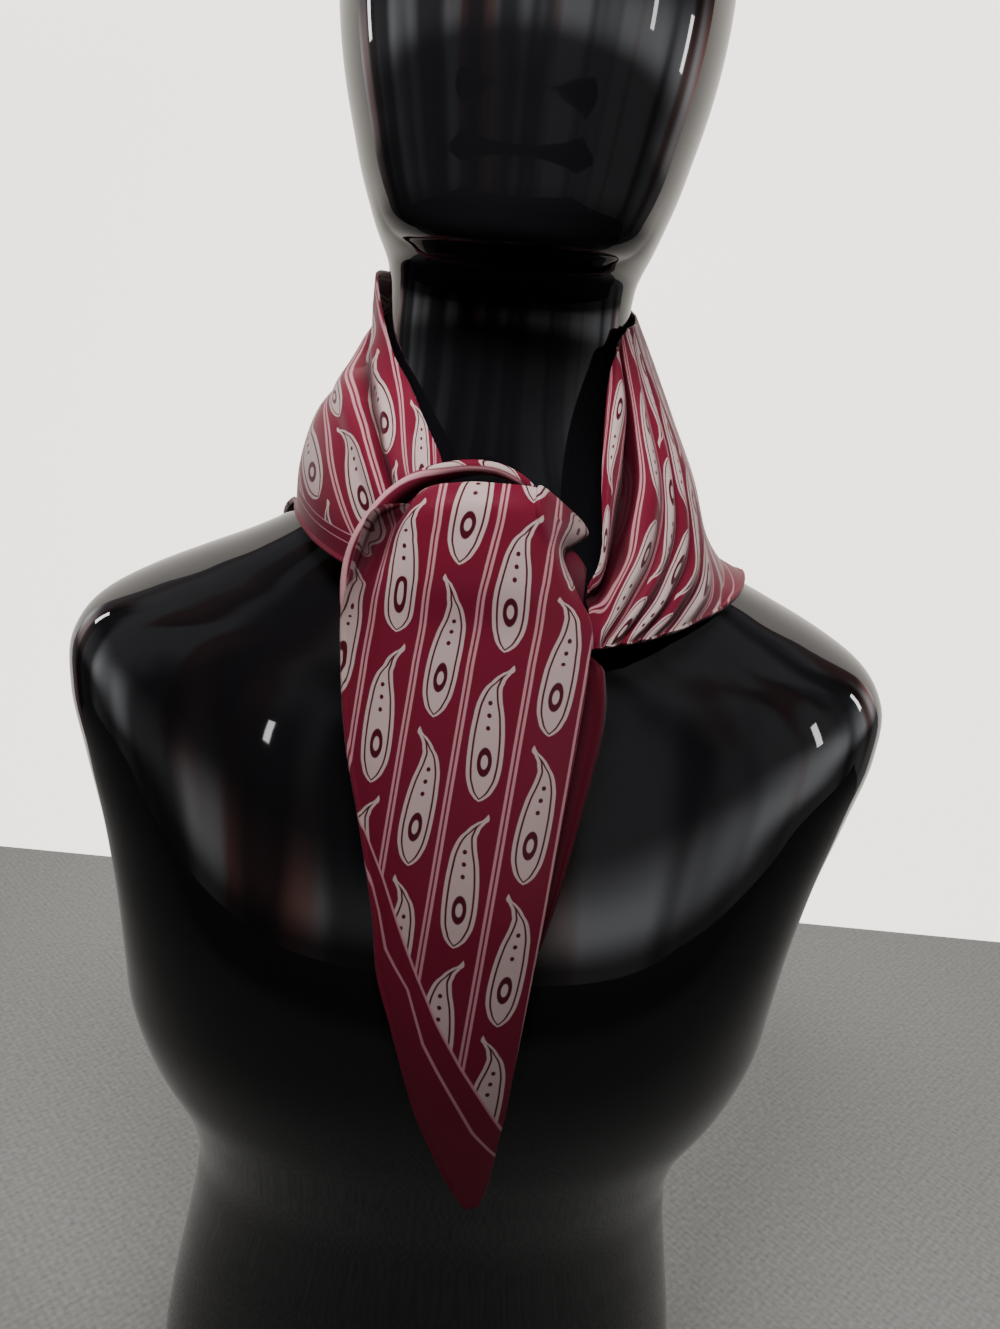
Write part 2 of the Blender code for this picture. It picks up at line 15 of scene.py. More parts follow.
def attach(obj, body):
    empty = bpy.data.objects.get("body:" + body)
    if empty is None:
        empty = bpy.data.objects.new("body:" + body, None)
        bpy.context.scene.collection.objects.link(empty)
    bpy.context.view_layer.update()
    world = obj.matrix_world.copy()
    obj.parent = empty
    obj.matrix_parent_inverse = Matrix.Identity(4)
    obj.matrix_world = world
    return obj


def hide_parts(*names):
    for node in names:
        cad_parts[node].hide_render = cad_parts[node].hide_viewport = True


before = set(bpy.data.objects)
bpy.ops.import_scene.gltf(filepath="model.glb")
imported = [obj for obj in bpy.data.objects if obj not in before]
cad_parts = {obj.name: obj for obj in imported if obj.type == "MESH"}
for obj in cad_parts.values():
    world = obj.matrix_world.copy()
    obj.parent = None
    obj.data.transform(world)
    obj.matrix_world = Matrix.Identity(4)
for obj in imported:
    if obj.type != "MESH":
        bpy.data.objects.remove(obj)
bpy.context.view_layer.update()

BASE_DROP = 600.0        # from the design zero down to the underside of the bust
Y_CENTRE = -5.2          # middle of the whole model along y
REST = 0.5               # gap between the silk and the bust
NECK_SIDE = 55.0         # half width of the neck
CHIN_DROP = 8.0          # how far the chin hangs below the sides of the jaw
CLOTH = 1.1              # thickness of the folded silk as it is shown, mm
HEM_ROLL = 1.5           # half thickness of the rolled hem, mm
# share of the width at which the left collar's crease runs, at stations 0, 1, 2, 3,
# 4, 5.5 and 7
CREASE = [0.98, 0.70, 0.46, 0.31, 0.245, 0.238, 0.17]
LEFT_END = 7.0           # station where the left collar meets the back
RIGHT_END = 13.6         # station where the back meets the right collar
COLUMN = 25.0            # pitch of the print's columns, mm
DROP = 60.0              # pitch of the motifs along a column, mm
BORDER = 22.6            # hem to the outer frame line, mm
FRAME_IN = 31.5          # hem to the inner frame line, mm

# ring table of the bust: height, half width, front, back, roundness
RINGS = [
    (-600.0, 152.0, -92.0, 82.0, 2.5),
    (-569.0, 152.0, -95.0, 85.0, 2.5),
    (-530.0, 147.0, -98.0, 88.0, 2.5),
    (-484.0, 139.0, -100.0, 90.0, 2.5),
    (-440.0, 132.0, -103.0, 92.0, 2.5),
    (-410.0, 130.5, -107.0, 94.0, 2.5),
    (-376.0, 138.0, -115.0, 98.0, 2.5),
    (-345.0, 154.0, -123.0, 105.0, 2.5),
    (-315.0, 163.0, -129.0, 111.0, 2.5),
    (-288.0, 166.0, -131.0, 116.0, 2.5),
    (-257.0, 171.0, -127.5, 120.0, 2.5),
    (-228.0, 180.0, -120.0, 122.5, 2.4),
    (-198.0, 193.0, -108.5, 122.5, 2.3),
    (-170.0, 204.0, -96.0, 119.5, 2.2),
    (-147.0, 204.5, -85.0, 113.0, 2.1),
    (-129.0, 191.0, -74.5, 104.5, 2.1),
    (-115.0, 168.0, -66.0, 96.0, 2.05),
    (-103.0, 143.0, -60.0, 87.0, 2.0),
    (-92.0, 119.0, -56.5, 79.0, 2.0),
    (-80.0, 97.0, -54.0, 72.0, 2.0),
    (-66.0, 78.0, -52.0, 66.0, 2.0),
    (-50.0, 66.0, -50.5, 61.0, 2.0),
    (-32.0, 58.5, -49.5, 57.5, 2.0),
    (-12.0, 55.5, -49.0, 55.5, 2.0),
    (10.0, NECK_SIDE, -49.5, 55.0, 2.0),
    (30.0, NECK_SIDE, -52.0, 56.5, 2.0),
    (36.0, 55.9, -56.0, 57.8, 2.0),
    (40.5, 57.2, -66.0, 59.1, 2.0),
    (44.5, 58.7, -76.0, 60.6, 2.0),
    (49.5, 60.6, -82.5, 62.6, 2.0),
    (56.5, 63.1, -86.2, 65.6, 2.0),
    (67.0, 66.8, -89.0, 70.5, 2.0),
    (84.0, 71.5, -92.5, 79.0, 2.0),
    (105.0, 76.5, -97.0, 87.0, 2.0),
    (130.0, 80.0, -99.0, 93.0, 2.0),
    (155.0, 80.5, -97.0, 95.0, 2.0),
    (180.0, 77.5, -91.0, 91.0, 2.0),
    (203.0, 70.0, -80.0, 82.0, 2.0),
    (222.0, 58.0, -65.0, 68.0, 2.0),
    (236.0, 41.0, -45.0, 49.0, 2.0),
    (244.0, 21.0, -22.0, 27.0, 2.0),
]
CROWN = 246.5

# stations of the wrap from the knot on the viewer's left, round the nape, to
# the knot on the right: the angle from the front, then radius and height at
# the neck edge, three points between, the fall, and the hem
WRAP = [
    (-17.0, 64.5, -48.0, 67.5, -55.0, 70.0, -64.0, 72.0, -76.0, 73.0, -88.0, 73.5, -100.0),
    (-23.0, 61.0, -38.5, 67.5, -45.5, 73.5, -56.0, 77.5, -70.0, 80.0, -84.0, 80.5, -97.0),
    (-33.0, 57.0, -27.5, 66.0, -35.0, 75.0, -46.5, 81.5, -61.5, 85.0, -78.0, 85.5, -92.0),
    (-45.0, 54.8, -15.0, 64.0, -25.0, 75.0, -38.0, 83.0, -54.0, 87.5, -71.0, 87.3, -88.0),
    (-59.0, 55.2, -4.0, 62.5, -16.0, 75.0, -29.0, 84.0, -44.0, 89.0, -64.0, 88.7, -83.5),
    (-73.0, 56.0, 8.0, 62.0, -5.0, 74.5, -21.0, 85.0, -37.0, 90.5, -57.0, 91.0, -77.5),
    (-87.0, 59.0, 21.0, 62.5, 3.0, 74.0, -16.5, 84.5, -32.0, 90.5, -53.0, 92.5, -75.5),
    (-100.0, 63.5, 32.0, 65.0, 11.0, 73.0, -12.0, 85.0, -34.0, 94.0, -60.0, 99.0, -86.0),
    (-125.0, 66.5, 34.0, 69.0, 14.0, 75.0, -10.0, 88.0, -46.0, 106.0, -94.0, 122.0, -136.0),
    (-155.0, 67.0, 35.0, 71.0, 15.0, 77.0, -12.0, 92.0, -60.0, 115.0, -122.0, 127.5, -186.0),
    (-182.0, 66.0, 35.0, 71.0, 14.0, 77.0, -16.0, 93.0, -76.0, 118.0, -156.0, 127.0, -246.0),
    (-208.0, 65.5, 34.0, 70.5, 12.0, 77.0, -18.0, 94.0, -70.0, 117.5, -136.0, 127.5, -201.0),
    (-233.0, 62.5, 30.0, 69.0, 8.0, 77.0, -19.0, 92.0, -60.0, 111.0, -108.0, 130.0, -156.0),
    (-255.0, 58.0, 26.0, 67.0, 7.0, 77.5, -17.0, 91.0, -46.0, 107.0, -78.0, 126.0, -108.0),
    (-268.0, 57.0, 22.5, 67.5, 3.5, 79.5, -20.0, 92.0, -45.0, 104.0, -74.0, 123.0, -96.0),
    (-281.0, 56.5, 18.5, 67.5, -3.0, 81.0, -27.0, 93.0, -50.0, 102.5, -75.0, 117.5, -98.5),
    (-296.0, 55.5, 14.0, 69.0, -12.0, 83.0, -36.0, 94.5, -59.0, 103.0, -80.0, 110.5, -101.0),
    (-309.0, 58.5, -3.5, 72.0, -28.0, 85.0, -50.0, 94.5, -70.0, 101.5, -88.0, 106.0, -104.5),
    (-319.0, 69.5, -37.5, 79.5, -54.0, 88.0, -68.0, 95.0, -82.0, 100.0, -95.0, 103.0, -107.0),
    (-326.5, 85.5, -73.0, 89.5, -82.0, 92.5, -89.5, 95.0, -97.0, 97.5, -103.0, 99.0, -109.0),
    (-331.0, 90.0, -86.0, 91.5, -90.5, 93.0, -95.5, 94.5, -100.5, 96.0, -105.5, 97.0, -110.5),
]
# the top of the hanging end, from behind the crest to where it hangs free,
# eight points across: beside the lip, valley, left ridge, three on the face,
# right ridge, and the turned flap
CREST = [
    [(-27, -77, -64), (-22, -75.5, -64), (-14, -74, -62.5), (-4, -74, -62.8),
     (7, -74, -63), (17, -74, -62.8), (25, -73, -62), (30, -71, -61.5)],
    [(-32, -80, -60.5), (-27, -78.5, -62), (-20, -78, -54.5), (-8, -77.5, -52.5),
     (6, -77.5, -52.5), (18, -76.5, -53), (26, -75, -54.5), (33, -71.5, -57.5)],
    [(-37.5, -83.8, -59.5), (-32, -82, -62), (-25.5, -84.5, -52.8), (-11, -84.5, -48.5),
     (5, -84.5, -47.5), (18, -83, -48), (26, -81, -50.5), (37, -72.5, -59.5)],
    [(-44, -87.2, -62.2), (-38, -83.8, -68.5), (-28.5, -90, -59), (-13, -91.5, -54.5),
     (4, -91.5, -53), (18, -89.5, -54), (27.5, -86, -57), (41.5, -73, -65)],
    [(-48.8, -91.3, -74.5), (-43.2, -88, -79.5), (-31, -94.5, -72), (-14, -96, -69),
     (4, -96, -67), (19, -94, -67), (29.5, -90, -71), (32, -84, -72)],
    [(-51.5, -94.3, -90), (-46.6, -94, -90.5), (-34, -98, -87), (-16, -99.5, -85),
     (5, -99.5, -83.5), (23, -97.5, -84), (35.5, -93, -84.5), (37, -90, -84)],
]
# edges of the hanging end below that: x, y, z on the left, then on the right,
# and how far the face stands out between them
TAIL = [
    (-53.3, -95.8, -104.0, 45.4, -94.6, -98.0, 5.5),
    (-52.0, -99.3, -120.0, 46.1, -98.5, -114.0, 5.5),
    (-47.4, -108.0, -150.0, 44.4, -106.5, -144.0, 5.0),
    (-38.3, -117.5, -184.0, 41.4, -116.0, -178.0, 4.5),
    (-29.7, -126.5, -220.0, 38.2, -125.3, -214.0, 4.0),
    (-25.7, -131.0, -244.0, 36.0, -130.0, -238.0, 3.5),
    (-19.0, -134.5, -263.0, 34.3, -133.5, -257.0, 3.0),
    (-10.8, -137.3, -288.0, 31.8, -137.0, -286.0, 2.4),
    (-5.9, -138.2, -302.0, 30.7, -138.0, -300.0, 1.8),
    (0.6, -138.7, -316.0, 28.9, -138.7, -314.0, 1.2),
    (7.5, -139.0, -330.0, 27.5, -139.0, -328.0, 0.7),
    (13.9, -139.0, -341.0, 25.7, -139.0, -339.0, 0.3),
    (19.0, -139.0, -347.3, 23.3, -139.0, -347.0, 0.1),
]
# the lip that runs from the left edge over the hollow behind the crest
LIP = [
    (-53.6, -92.6, -107.0),
    (-55.0, -91.4, -94.0),
    (-54.3, -89.3, -81.5),
    (-50.3, -87.6, -69.5),
    (-42.3, -83.6, -57.0),
    (-32.5, -79.5, -48.3),
    (-21.5, -76.0, -43.3),
    (-9.0, -73.0, -40.7),
    (3.0, -71.0, -41.2),
    (13.5, -69.5, -45.5),
    (21.0, -68.5, -52.0),
]
LIP_MIDDLE = (-6.0, 0.0, -96.0)    # the lip bends round this point
# the lip's rolled edge: how far inward, how far it stands out, share of the drop
LIP_ROLL = [
    (1.2, -2.6, 0.0),
    (0.3, -1.5, 0.0),
    (0.0, -0.3, 0.0),
    (0.6, 0.8, 0.0),
    (1.8, 1.2, 0.0),
    (3.1, 0.7, 0.1),
    (3.9, -0.7, 0.3),
    (4.2, -2.6, 0.55),
    (4.4, -4.4, 0.8),
    (4.5, -5.8, 1.0),
]
# the other end, hanging behind: left and right edges
REAR = [
    (-12.0, -76.6, -110.9, 36.0, -77.6, -111.3),
    (-24.0, -83.0, -116.0, 50.5, -88.5, -115.5),
    (-28.0, -89.0, -124.0, 53.5, -94.5, -123.0),
    (-22.0, -94.5, -140.0, 54.5, -99.5, -138.0),
    (-10.0, -102.5, -163.0, 51.5, -106.0, -160.0),
    (5.0, -109.5, -186.0, 47.5, -112.0, -183.0),
    (18.0, -117.0, -208.0, 43.0, -118.5, -206.0),
    (31.0, -123.5, -229.0, 37.5, -124.0, -228.5),
]
# the bound core of the knot: x, y, z of the middle, half depth, half height
CORE = [
    (-20.3, -76.8, -84.0, 3.5, 12.0),
    (-16.5, -76.5, -85.0, 7.5, 18.5),
    (-6.0, -75.0, -86.0, 10.0, 22.2),
    (8.0, -75.5, -87.0, 10.5, 23.2),
    (22.0, -76.5, -87.5, 10.0, 23.0),
    (32.0, -77.0, -89.0, 8.5, 20.0),
    (38.5, -76.5, -91.0, 6.5, 17.0),
    (42.4, -76.2, -92.0, 4.2, 13.0),
]

# the print's column lines over the wrap, which the folds of the right collar
# follow too: station, then the number of the line at each share of the width
FOLD_SHARES = [0.0, 0.1, 0.2, 0.35, 0.5, 0.65, 0.8, 1.0]
FOLDS = [
    (0.0, -0.61, -0.43, -0.25, 0.07, 0.43, 0.82, 1.23, 1.76),
    (1.0, -0.11, 0.10, 0.30, 0.64, 1.11, 1.57, 2.00, 2.53),
    (2.0, 0.36, 0.63, 0.90, 1.32, 1.86, 2.29, 2.68, 3.21),
    (3.0, 0.74, 1.04, 1.36, 1.87, 2.40, 2.79, 3.18, 3.78),
    (4.0, 0.99, 1.25, 1.55, 2.13, 2.81, 3.18, 3.61, 4.23),
    (5.5, 1.00, 1.25, 1.55, 2.21, 3.11, 3.65, 4.15, 4.84),
    (7.0, 0.91, 1.40, 1.88, 2.59, 3.34, 4.15, 5.03, 6.15),
    (9.0, 0.99, 1.44, 1.91, 2.77, 4.02, 5.77, 7.90, 10.79),
    (11.0, 2.10, 2.60, 3.15, 4.10, 5.40, 7.10, 9.10, 11.90),
    (12.4, 5.00, 5.40, 5.85, 6.60, 7.50, 8.60, 9.90, 12.00),
    (13.4, 6.60, 6.95, 7.30, 7.85, 8.50, 9.20, 10.00, 11.20),
    (14.2, 5.95, 6.28, 6.63, 7.15, 7.65, 8.20, 8.75, 9.46),
    (15.0, 4.43, 4.73, 5.08, 5.61, 6.04, 6.61, 7.19, 7.93),
    (15.6, 3.11, 3.45, 3.75, 4.32, 4.98, 5.54, 6.28, 7.43),
    (16.2, 1.75, 2.35, 2.80, 3.30, 3.90, 4.55, 5.49, 7.10),
    (16.8, 0.13, 0.91, 1.72, 2.30, 2.94, 3.78, 4.95, 6.52),
    (17.4, -0.20, 0.63, 1.28, 1.93, 2.39, 3.15, 4.20, 5.99),
    (18.0, -0.08, 0.62, 1.21, 1.79, 2.03, 2.77, 3.65, 5.11),
    (18.7, 0.19, 0.69, 1.17, 1.81, 2.01, 2.36, 2.95, 3.94),
    (20.0, 0.78, 1.14, 1.48, 1.93, 2.14, 2.09, 1.96, 1.78),
]
# where the hem lies along the wrap: station, cloth turned under at the edge, mm,
# and how much cloth each millimetre of the visible border holds
HEMS = [
    (0.0, 0.0, 2.2),
    (5.5, 0.0, 2.2),
    (8.0, 0.0, 1.0),
    (13.0, 0.0, 1.0),
    (14.1, 6.0, 1.5),
    (14.6, 13.6, 1.5),
    (15.0, 18.7, 1.5),
    (15.3, 21.1, 1.5),
    (15.8, 40.0, 1.5),
    (20.0, 60.0, 1.5),
]
# the two frame lines on the hanging end, as it is seen from the front: x, z
FRAME_INNER = [
    (-52.0, -160.0),
    (-36.4, -184.9),
    (-27.4, -201.7),
    (-19.6, -219.3),
    (-10.1, -239.9),
    (-0.4, -258.7),
    (10.9, -276.9),
    (21.7, -292.4),
    (33.0, -310.0),
]
FRAME_OUTER = [
    (-44.0, -178.0),
    (-30.8, -206.3),
    (-27.4, -216.1),
    (-23.7, -230.2),
    (-18.9, -237.5),
    (-13.3, -245.4),
    (-5.3, -268.0),
    (1.3, -279.4),
    (9.9, -293.5),
    (18.0, -307.1),
    (28.2, -318.1),
    (36.0, -328.0),
]

# shapes, worked out from the tables


def smooth(knots, rows, at):
    """Values of a smooth curve through the rows at the asked positions."""
    knots = np.asarray(knots, float)
    rows = np.asarray(rows, float)
    at = np.clip(np.asarray(at, float), knots[0], knots[-1])
    step = np.diff(knots)
    shape = (-1,) + (1,) * (rows.ndim - 1)
    slope = np.diff(rows, axis=0) / step.reshape(shape)
    tangent = np.empty_like(rows)
    tangent[0] = slope[0]
    tangent[-1] = slope[-1]
    before = step[:-1].reshape(shape)
    after = step[1:].reshape(shape)
    tangent[1:-1] = (after * slope[:-1] + before * slope[1:]) / (before + after)
    cell = np.clip(np.searchsorted(knots, at, side="right") - 1, 0, len(step) - 1)
    width = step[cell].reshape(shape)
    t = ((at - knots[cell]) / step[cell]).reshape(shape)
    h00 = 2 * t ** 3 - 3 * t ** 2 + 1
    h10 = t ** 3 - 2 * t ** 2 + t
    h01 = 3 * t ** 2 - 2 * t ** 3
    h11 = t ** 3 - t ** 2
    return (h00 * rows[cell] + h10 * width * tangent[cell]
            + h01 * rows[cell + 1] + h11 * width * tangent[cell + 1])


def bump(value, centre, half):
    """A soft hill of height one around the centre."""
    t = np.clip(np.abs(value - centre) / half, 0.0, 1.0)
    return 0.5 + 0.5 * np.cos(math.pi * t)


def ramp(value, low, high):
    """0 below low, 1 above high, smooth between."""
    t = np.clip((np.asarray(value, float) - low) / (high - low), 0.0, 1.0)
    return t * t * (3.0 - 2.0 * t)


def bust_mesh(count, around):
    """Rings of the bust from the foot to the crown, closed at both ends."""
    table = np.array(RINGS)
    heights = smooth(np.arange(len(table)), table[:, 0], np.linspace(0, len(table) - 1, count))
    points = []
    for z in heights:
        _, half, front, back, power = smooth(table[:, 0], table, [z])[0]
        angle = np.linspace(0.0, 2 * math.pi, around, endpoint=False)
        c = np.cos(angle)
        s = np.sin(angle)
        x = half * np.sign(c) * np.abs(c) ** (2 / power)
        y = 0.5 * (front + back) + 0.5 * (back - front) * np.sign(s) * np.abs(s) ** (2 / power)
        chin = CHIN_DROP * bump(z, 49.0, 21.0) * np.clip((-y - 45.0) / 35.0, 0.0, 1.0)
        points += [np.array([x[k], y[k], z - chin[k]]) for k in range(around)]
    faces = []
    for i in range(count - 1):
        for j in range(around):
            k = (j + 1) % around
            faces.append((i * around + j, i * around + k, (i + 1) * around + k, (i + 1) * around + j))
    foot = len(points)
    points.append(np.array([0.0, 0.5 * (RINGS[0][2] + RINGS[0][3]), RINGS[0][0]]))
    crown = len(points)
    points.append(np.array([0.0, 0.5 * (RINGS[-1][2] + RINGS[-1][3]), CROWN]))
    last = (count - 1) * around
    for j in range(around):
        k = (j + 1) % around
        faces.append((foot, k, j))
        faces.append((crown, last + j, last + k))
    return np.array(points), faces


def settle(points, tree, low):
    """Push points that are too deep out of the bust to the low gap."""
    flat = points.reshape(-1, 3).copy()
    lows = np.broadcast_to(low, points.shape[:-1]).reshape(-1)
    for _ in range(2):
        for i, p in enumerate(flat):
            near, normal, _, _ = tree.find_nearest(Vector(p))
            gap = (Vector(p) - near).dot(normal)
            if gap < lows[i]:
                flat[i] = near + normal * lows[i]
    return flat.reshape(points.shape)


def normals(grid):
    """Unit normals of a grid of points."""
    along = np.gradient(grid, axis=0)
    across = np.gradient(grid, axis=1)
    n = np.cross(along, across)
    return n / np.maximum(np.linalg.norm(n, axis=2, keepdims=True), 1e-9)


def to_world(points):
    """From the design frame in millimetres to the shared frame in metres."""
    points = np.asarray(points, float).reshape(-1, 3).copy()
    points[:, 1] -= Y_CENTRE
    points[:, 2] += BASE_DROP
    return points * 0.001


def lengths(grid, axis):
    """Running length along one axis of a grid, mm."""
    step = np.linalg.norm(np.diff(grid, axis=axis), axis=2)
    total = np.cumsum(step, axis=axis)
    pad = [(0, 0), (0, 0)]
    pad[axis] = (1, 0)
    return np.pad(total, pad)


def hem_distance(grid, hem):
    """Distance from each point of a grid to a hem line, mm."""
    out = np.full(grid.shape[:2], 1.0e3)
    start = hem[:-1]
    leg = hem[1:] - hem[:-1]
    size = np.maximum(np.sum(leg * leg, axis=1), 1e-9)
    for i in range(grid.shape[0]):
        p = grid[i][:, None, :] - start[None]
        t = np.clip(np.sum(p * leg[None], axis=2) / size, 0.0, 1.0)
        gap = np.linalg.norm(p - leg[None] * t[..., None], axis=2)
        out[i] = gap.min(axis=1)
    return out


def silk_piece(name, grid, a, b, hem, shade, face, hems=()):
    """Closed thin cloth on a grid; a, b are the print's place and hem the distance to the hem,
    mm; shade is the painted shade, 1 on open cloth and falling toward 0 deep in a fold."""
    rows, cols = grid.shape[:2]
    n = normals(grid)
    half = np.full((rows, cols), 0.5 * CLOTH)
    if "right" in hems:
        half[:, -1] = HEM_ROLL * 0.8
        half[:, -2] = HEM_ROLL
    if "left" in hems:
        half[:, 0] = HEM_ROLL * 0.8
        half[:, 1] = HEM_ROLL
    over = grid + n * half[..., None]
    under = grid - n * half[..., None]
    size = rows * cols
    faces = []
    for i in range(rows - 1):
        for j in range(cols - 1):
            p = i * cols + j
            faces.append((p, p + cols, p + cols + 1, p + 1))
            faces.append((size + p, size + p + 1, size + p + cols + 1, size + p + cols))
    loop = [(0, j) for j in range(cols - 1)] + [(i, cols - 1) for i in range(rows - 1)]
    loop += [(rows - 1, j) for j in range(cols - 1, 0, -1)] + [(i, 0) for i in range(rows - 1, 0, -1)]
    points = list(over.reshape(-1, 3)) + list(under.reshape(-1, 3))
    marks = np.stack([a * 0.001, b * 0.001, hem * 0.001, shade], axis=2)
    places = list(marks.reshape(-1, 4)) * 2
    rim = []
    for i, j in loop:
        di = (i == rows - 1) - (i == 0)
        dj = (j == cols - 1) - (j == 0)
        out = np.zeros(3)
        if di:
            step = grid[i, j] - grid[i - di, j]
            out += step / max(np.linalg.norm(step), 1e-9)
        if dj:
            step = grid[i, j] - grid[i, j - dj]
            out += step / max(np.linalg.norm(step), 1e-9)
        out /= max(np.linalg.norm(out), 1e-9)
        rim.append(len(points))
        points.append(grid[i, j] + out * 0.8 * half[i, j])
        places.append(marks[i, j])
    for s, (i, j) in enumerate(loop):
        t = (s + 1) % len(loop)
        p = i * cols + j
        q = loop[t][0] * cols + loop[t][1]
        faces.append((p, q, rim[t], rim[s]))
        faces.append((rim[s], rim[t], size + q, size + p))
    mesh = bpy.data.meshes.new(name)
    mesh.from_pydata([tuple(p) for p in to_world(points)], [], faces)
    places = np.array(places)
    index = np.empty(len(mesh.loops), dtype=np.int64)
    mesh.loops.foreach_get("vertex_index", index)
    # the hem layer's second part carries the painted shade
    for layer, pair in (("print", (0, 1)), ("hem", (2, 3))):
        uv = mesh.uv_layers.new(name=layer)
        uv.data.foreach_set("uv", places[index][:, pair].astype(np.float32).ravel())
    mesh.polygons.foreach_set("use_smooth", [True] * len(mesh.polygons))
    mesh.validate()
    mesh.update()
    mesh.materials.append(face)
    item = bpy.data.objects.new(name, mesh)
    bpy.context.scene.collection.objects.link(item)
    return item


def wrap_points(stations, across):
    """Middle surface of the wrap at the asked stations and shares of its width."""
    table = np.array(WRAP)
    angle = smooth(np.arange(len(table)), np.radians(table[:, 0]), stations)
    radius = smooth(np.arange(len(table)), table[:, 1::2], stations)
    height = smooth(np.arange(len(table)), table[:, 2::2], stations)
    shares = [0.0, 0.18, 0.38, 0.6, 0.8, 1.0]
    radius = smooth(shares, radius.T, across).T
    height = smooth(shares, height.T, across).T
    x = radius * np.sin(angle)[:, None]
    y = -radius * np.cos(angle)[:, None]
    return np.stack([x, y, height], axis=2)


def soft_folds(stations, across):
    """How far the broad folds of the left and the back stand out, mm."""
    s = np.asarray(stations)[:, None]
    u = np.asarray(across)[None, :]
    left = 1.0 - np.clip((s - 5.5) / 2.5, 0.0, 1.0)
    path = np.interp(s, [0.0, 1.0, 2.0, 3.0, 4.0, 5.5, 7.0], CREASE)
    crease = -4.4 * bump(u, path, 0.085) + 1.8 * bump(u, path + 0.12, 0.11)
    out = left * np.clip((s + 1.0) / 2.0, 0.3, 1.0) * crease
    back = bump(s, 10.3, 4.0)
    return out + back * 2.2 * np.cos(2 * math.pi * (2.2 * u + 0.25 * np.sin(s * 1.1)))


def fold_number(stations, across):
    """Which line of the print runs through each point of the wrap."""
    table = np.array(FOLDS)
    rows = smooth(table[:, 0], table[:, 1:], stations)
    return smooth(FOLD_SHARES, rows.T, across).T


def gathers(stations, across):
    """Rolls and pleats of the right collar, mm."""
    s = np.asarray(stations)[:, None]
    u = np.asarray(across)[None, :]
    fold = fold_number(stations, across)
    grow = ramp(s, 13.6, 15.8)
    near = np.clip((20.3 - s) / 2.2, 0.0, 1.0)
    rim = np.clip(u / 0.05, 0.0, 1.0)
    roll = 2.6 * bump(fold, 0.5, 0.7) - 7.0 * rim * bump(fold, 1.5, 0.52) + 2.4 * bump(fold, 2.4, 0.55)
    pleats = 1.5 * np.clip((fold - 2.9) / 0.5, 0.0, 1.0) * np.cos(2 * math.pi * (fold - 3.5))
    pleats = pleats * np.clip((1.02 - u) / 0.1, 0.0, 1.0) * np.clip((s - 14.8) / 1.4, 0.0, 1.0)
    return grow * (roll * (0.25 + 0.75 * near) + pleats * (0.18 + 0.82 * near))


def outward(grid):
    """Unit normals of a wrap grid, turned away from the neck."""
    n = normals(grid)
    side = np.sign(np.sum(n[..., :2] * grid[..., :2], axis=2, keepdims=True))
    return n * side


def wrap_grid(stations, cols):
    """Middle surface of the smooth stretches of the wrap, clear of the bust."""
    across = np.linspace(0.0, 1.0, cols)
    grid = wrap_points(stations, across)
    grid = grid + outward(grid) * soft_folds(stations, across)[..., None]
    return settle(grid, tree, 1.6 + 2.2 * across ** 2)


def gathered(stations, cols):
    """Middle surface of the gathered stretch on the right, clear of the bust."""
    across = np.linspace(0.0, 1.0, cols)
    grid = wrap_points(stations, across)
    grid = settle(grid, tree, 1.6 + 2.2 * across ** 2)
    grid = grid + outward(grid) * (gathers(stations, across) + 0.4)[..., None]
    return settle(grid, tree, REST + 1.2)


def tail_rows():
    """Eight points across for each row of the hanging end."""
    rows = [np.array(row, float) for row in CREST]
    shares = [0.0, 0.07, 0.2, 0.38, 0.6, 0.8, 0.965, 1.0]
    for lx, ly, lz, rx, ry, rz, stand in TAIL:
        left = np.array([lx, ly, lz])
        right = np.array([rx, ry, rz])
        row = []
        for u in shares:
            rise = 1.0 - (2 * u - 1.0) ** 4
            row.append(left + (right - left) * u + np.array([0.0, -stand * rise, -0.3 * stand * rise]))
        rows.append(np.array(row))
    return np.array(rows)


def tail_grid(rows, cols):
    """Middle surface of the hanging end."""
    table = tail_rows()
    knots = [0.0]
    for p, q in zip(table[:-1], table[1:]):
        knots.append(knots[-1] + np.linalg.norm(q - p, axis=1).mean())
    share = np.linspace(0.0, 1.0, rows) ** 1.15
    grid = smooth(knots, table, share * knots[-1])
    shares = [0.0, 0.07, 0.2, 0.38, 0.6, 0.8, 0.95, 1.0]
    return smooth(shares, grid.transpose(1, 0, 2), np.linspace(0, 1, cols)).transpose(1, 0, 2)


def rear_grid(rows, cols):
    """Middle surface of the end that hangs behind."""
    table = np.array(REAR)
    edges = smooth(np.arange(len(table)), table, np.linspace(0, len(table) - 1, rows))
    u = np.linspace(0.0, 1.0, cols)[None, :, None]
    grid = edges[:, None, :3] * (1.0 - u) + edges[:, None, 3:] * u
    grid[..., 1] -= 1.5 * np.sin(math.pi * u[..., 0]) * np.linspace(1, 0, rows)[:, None]
    return grid


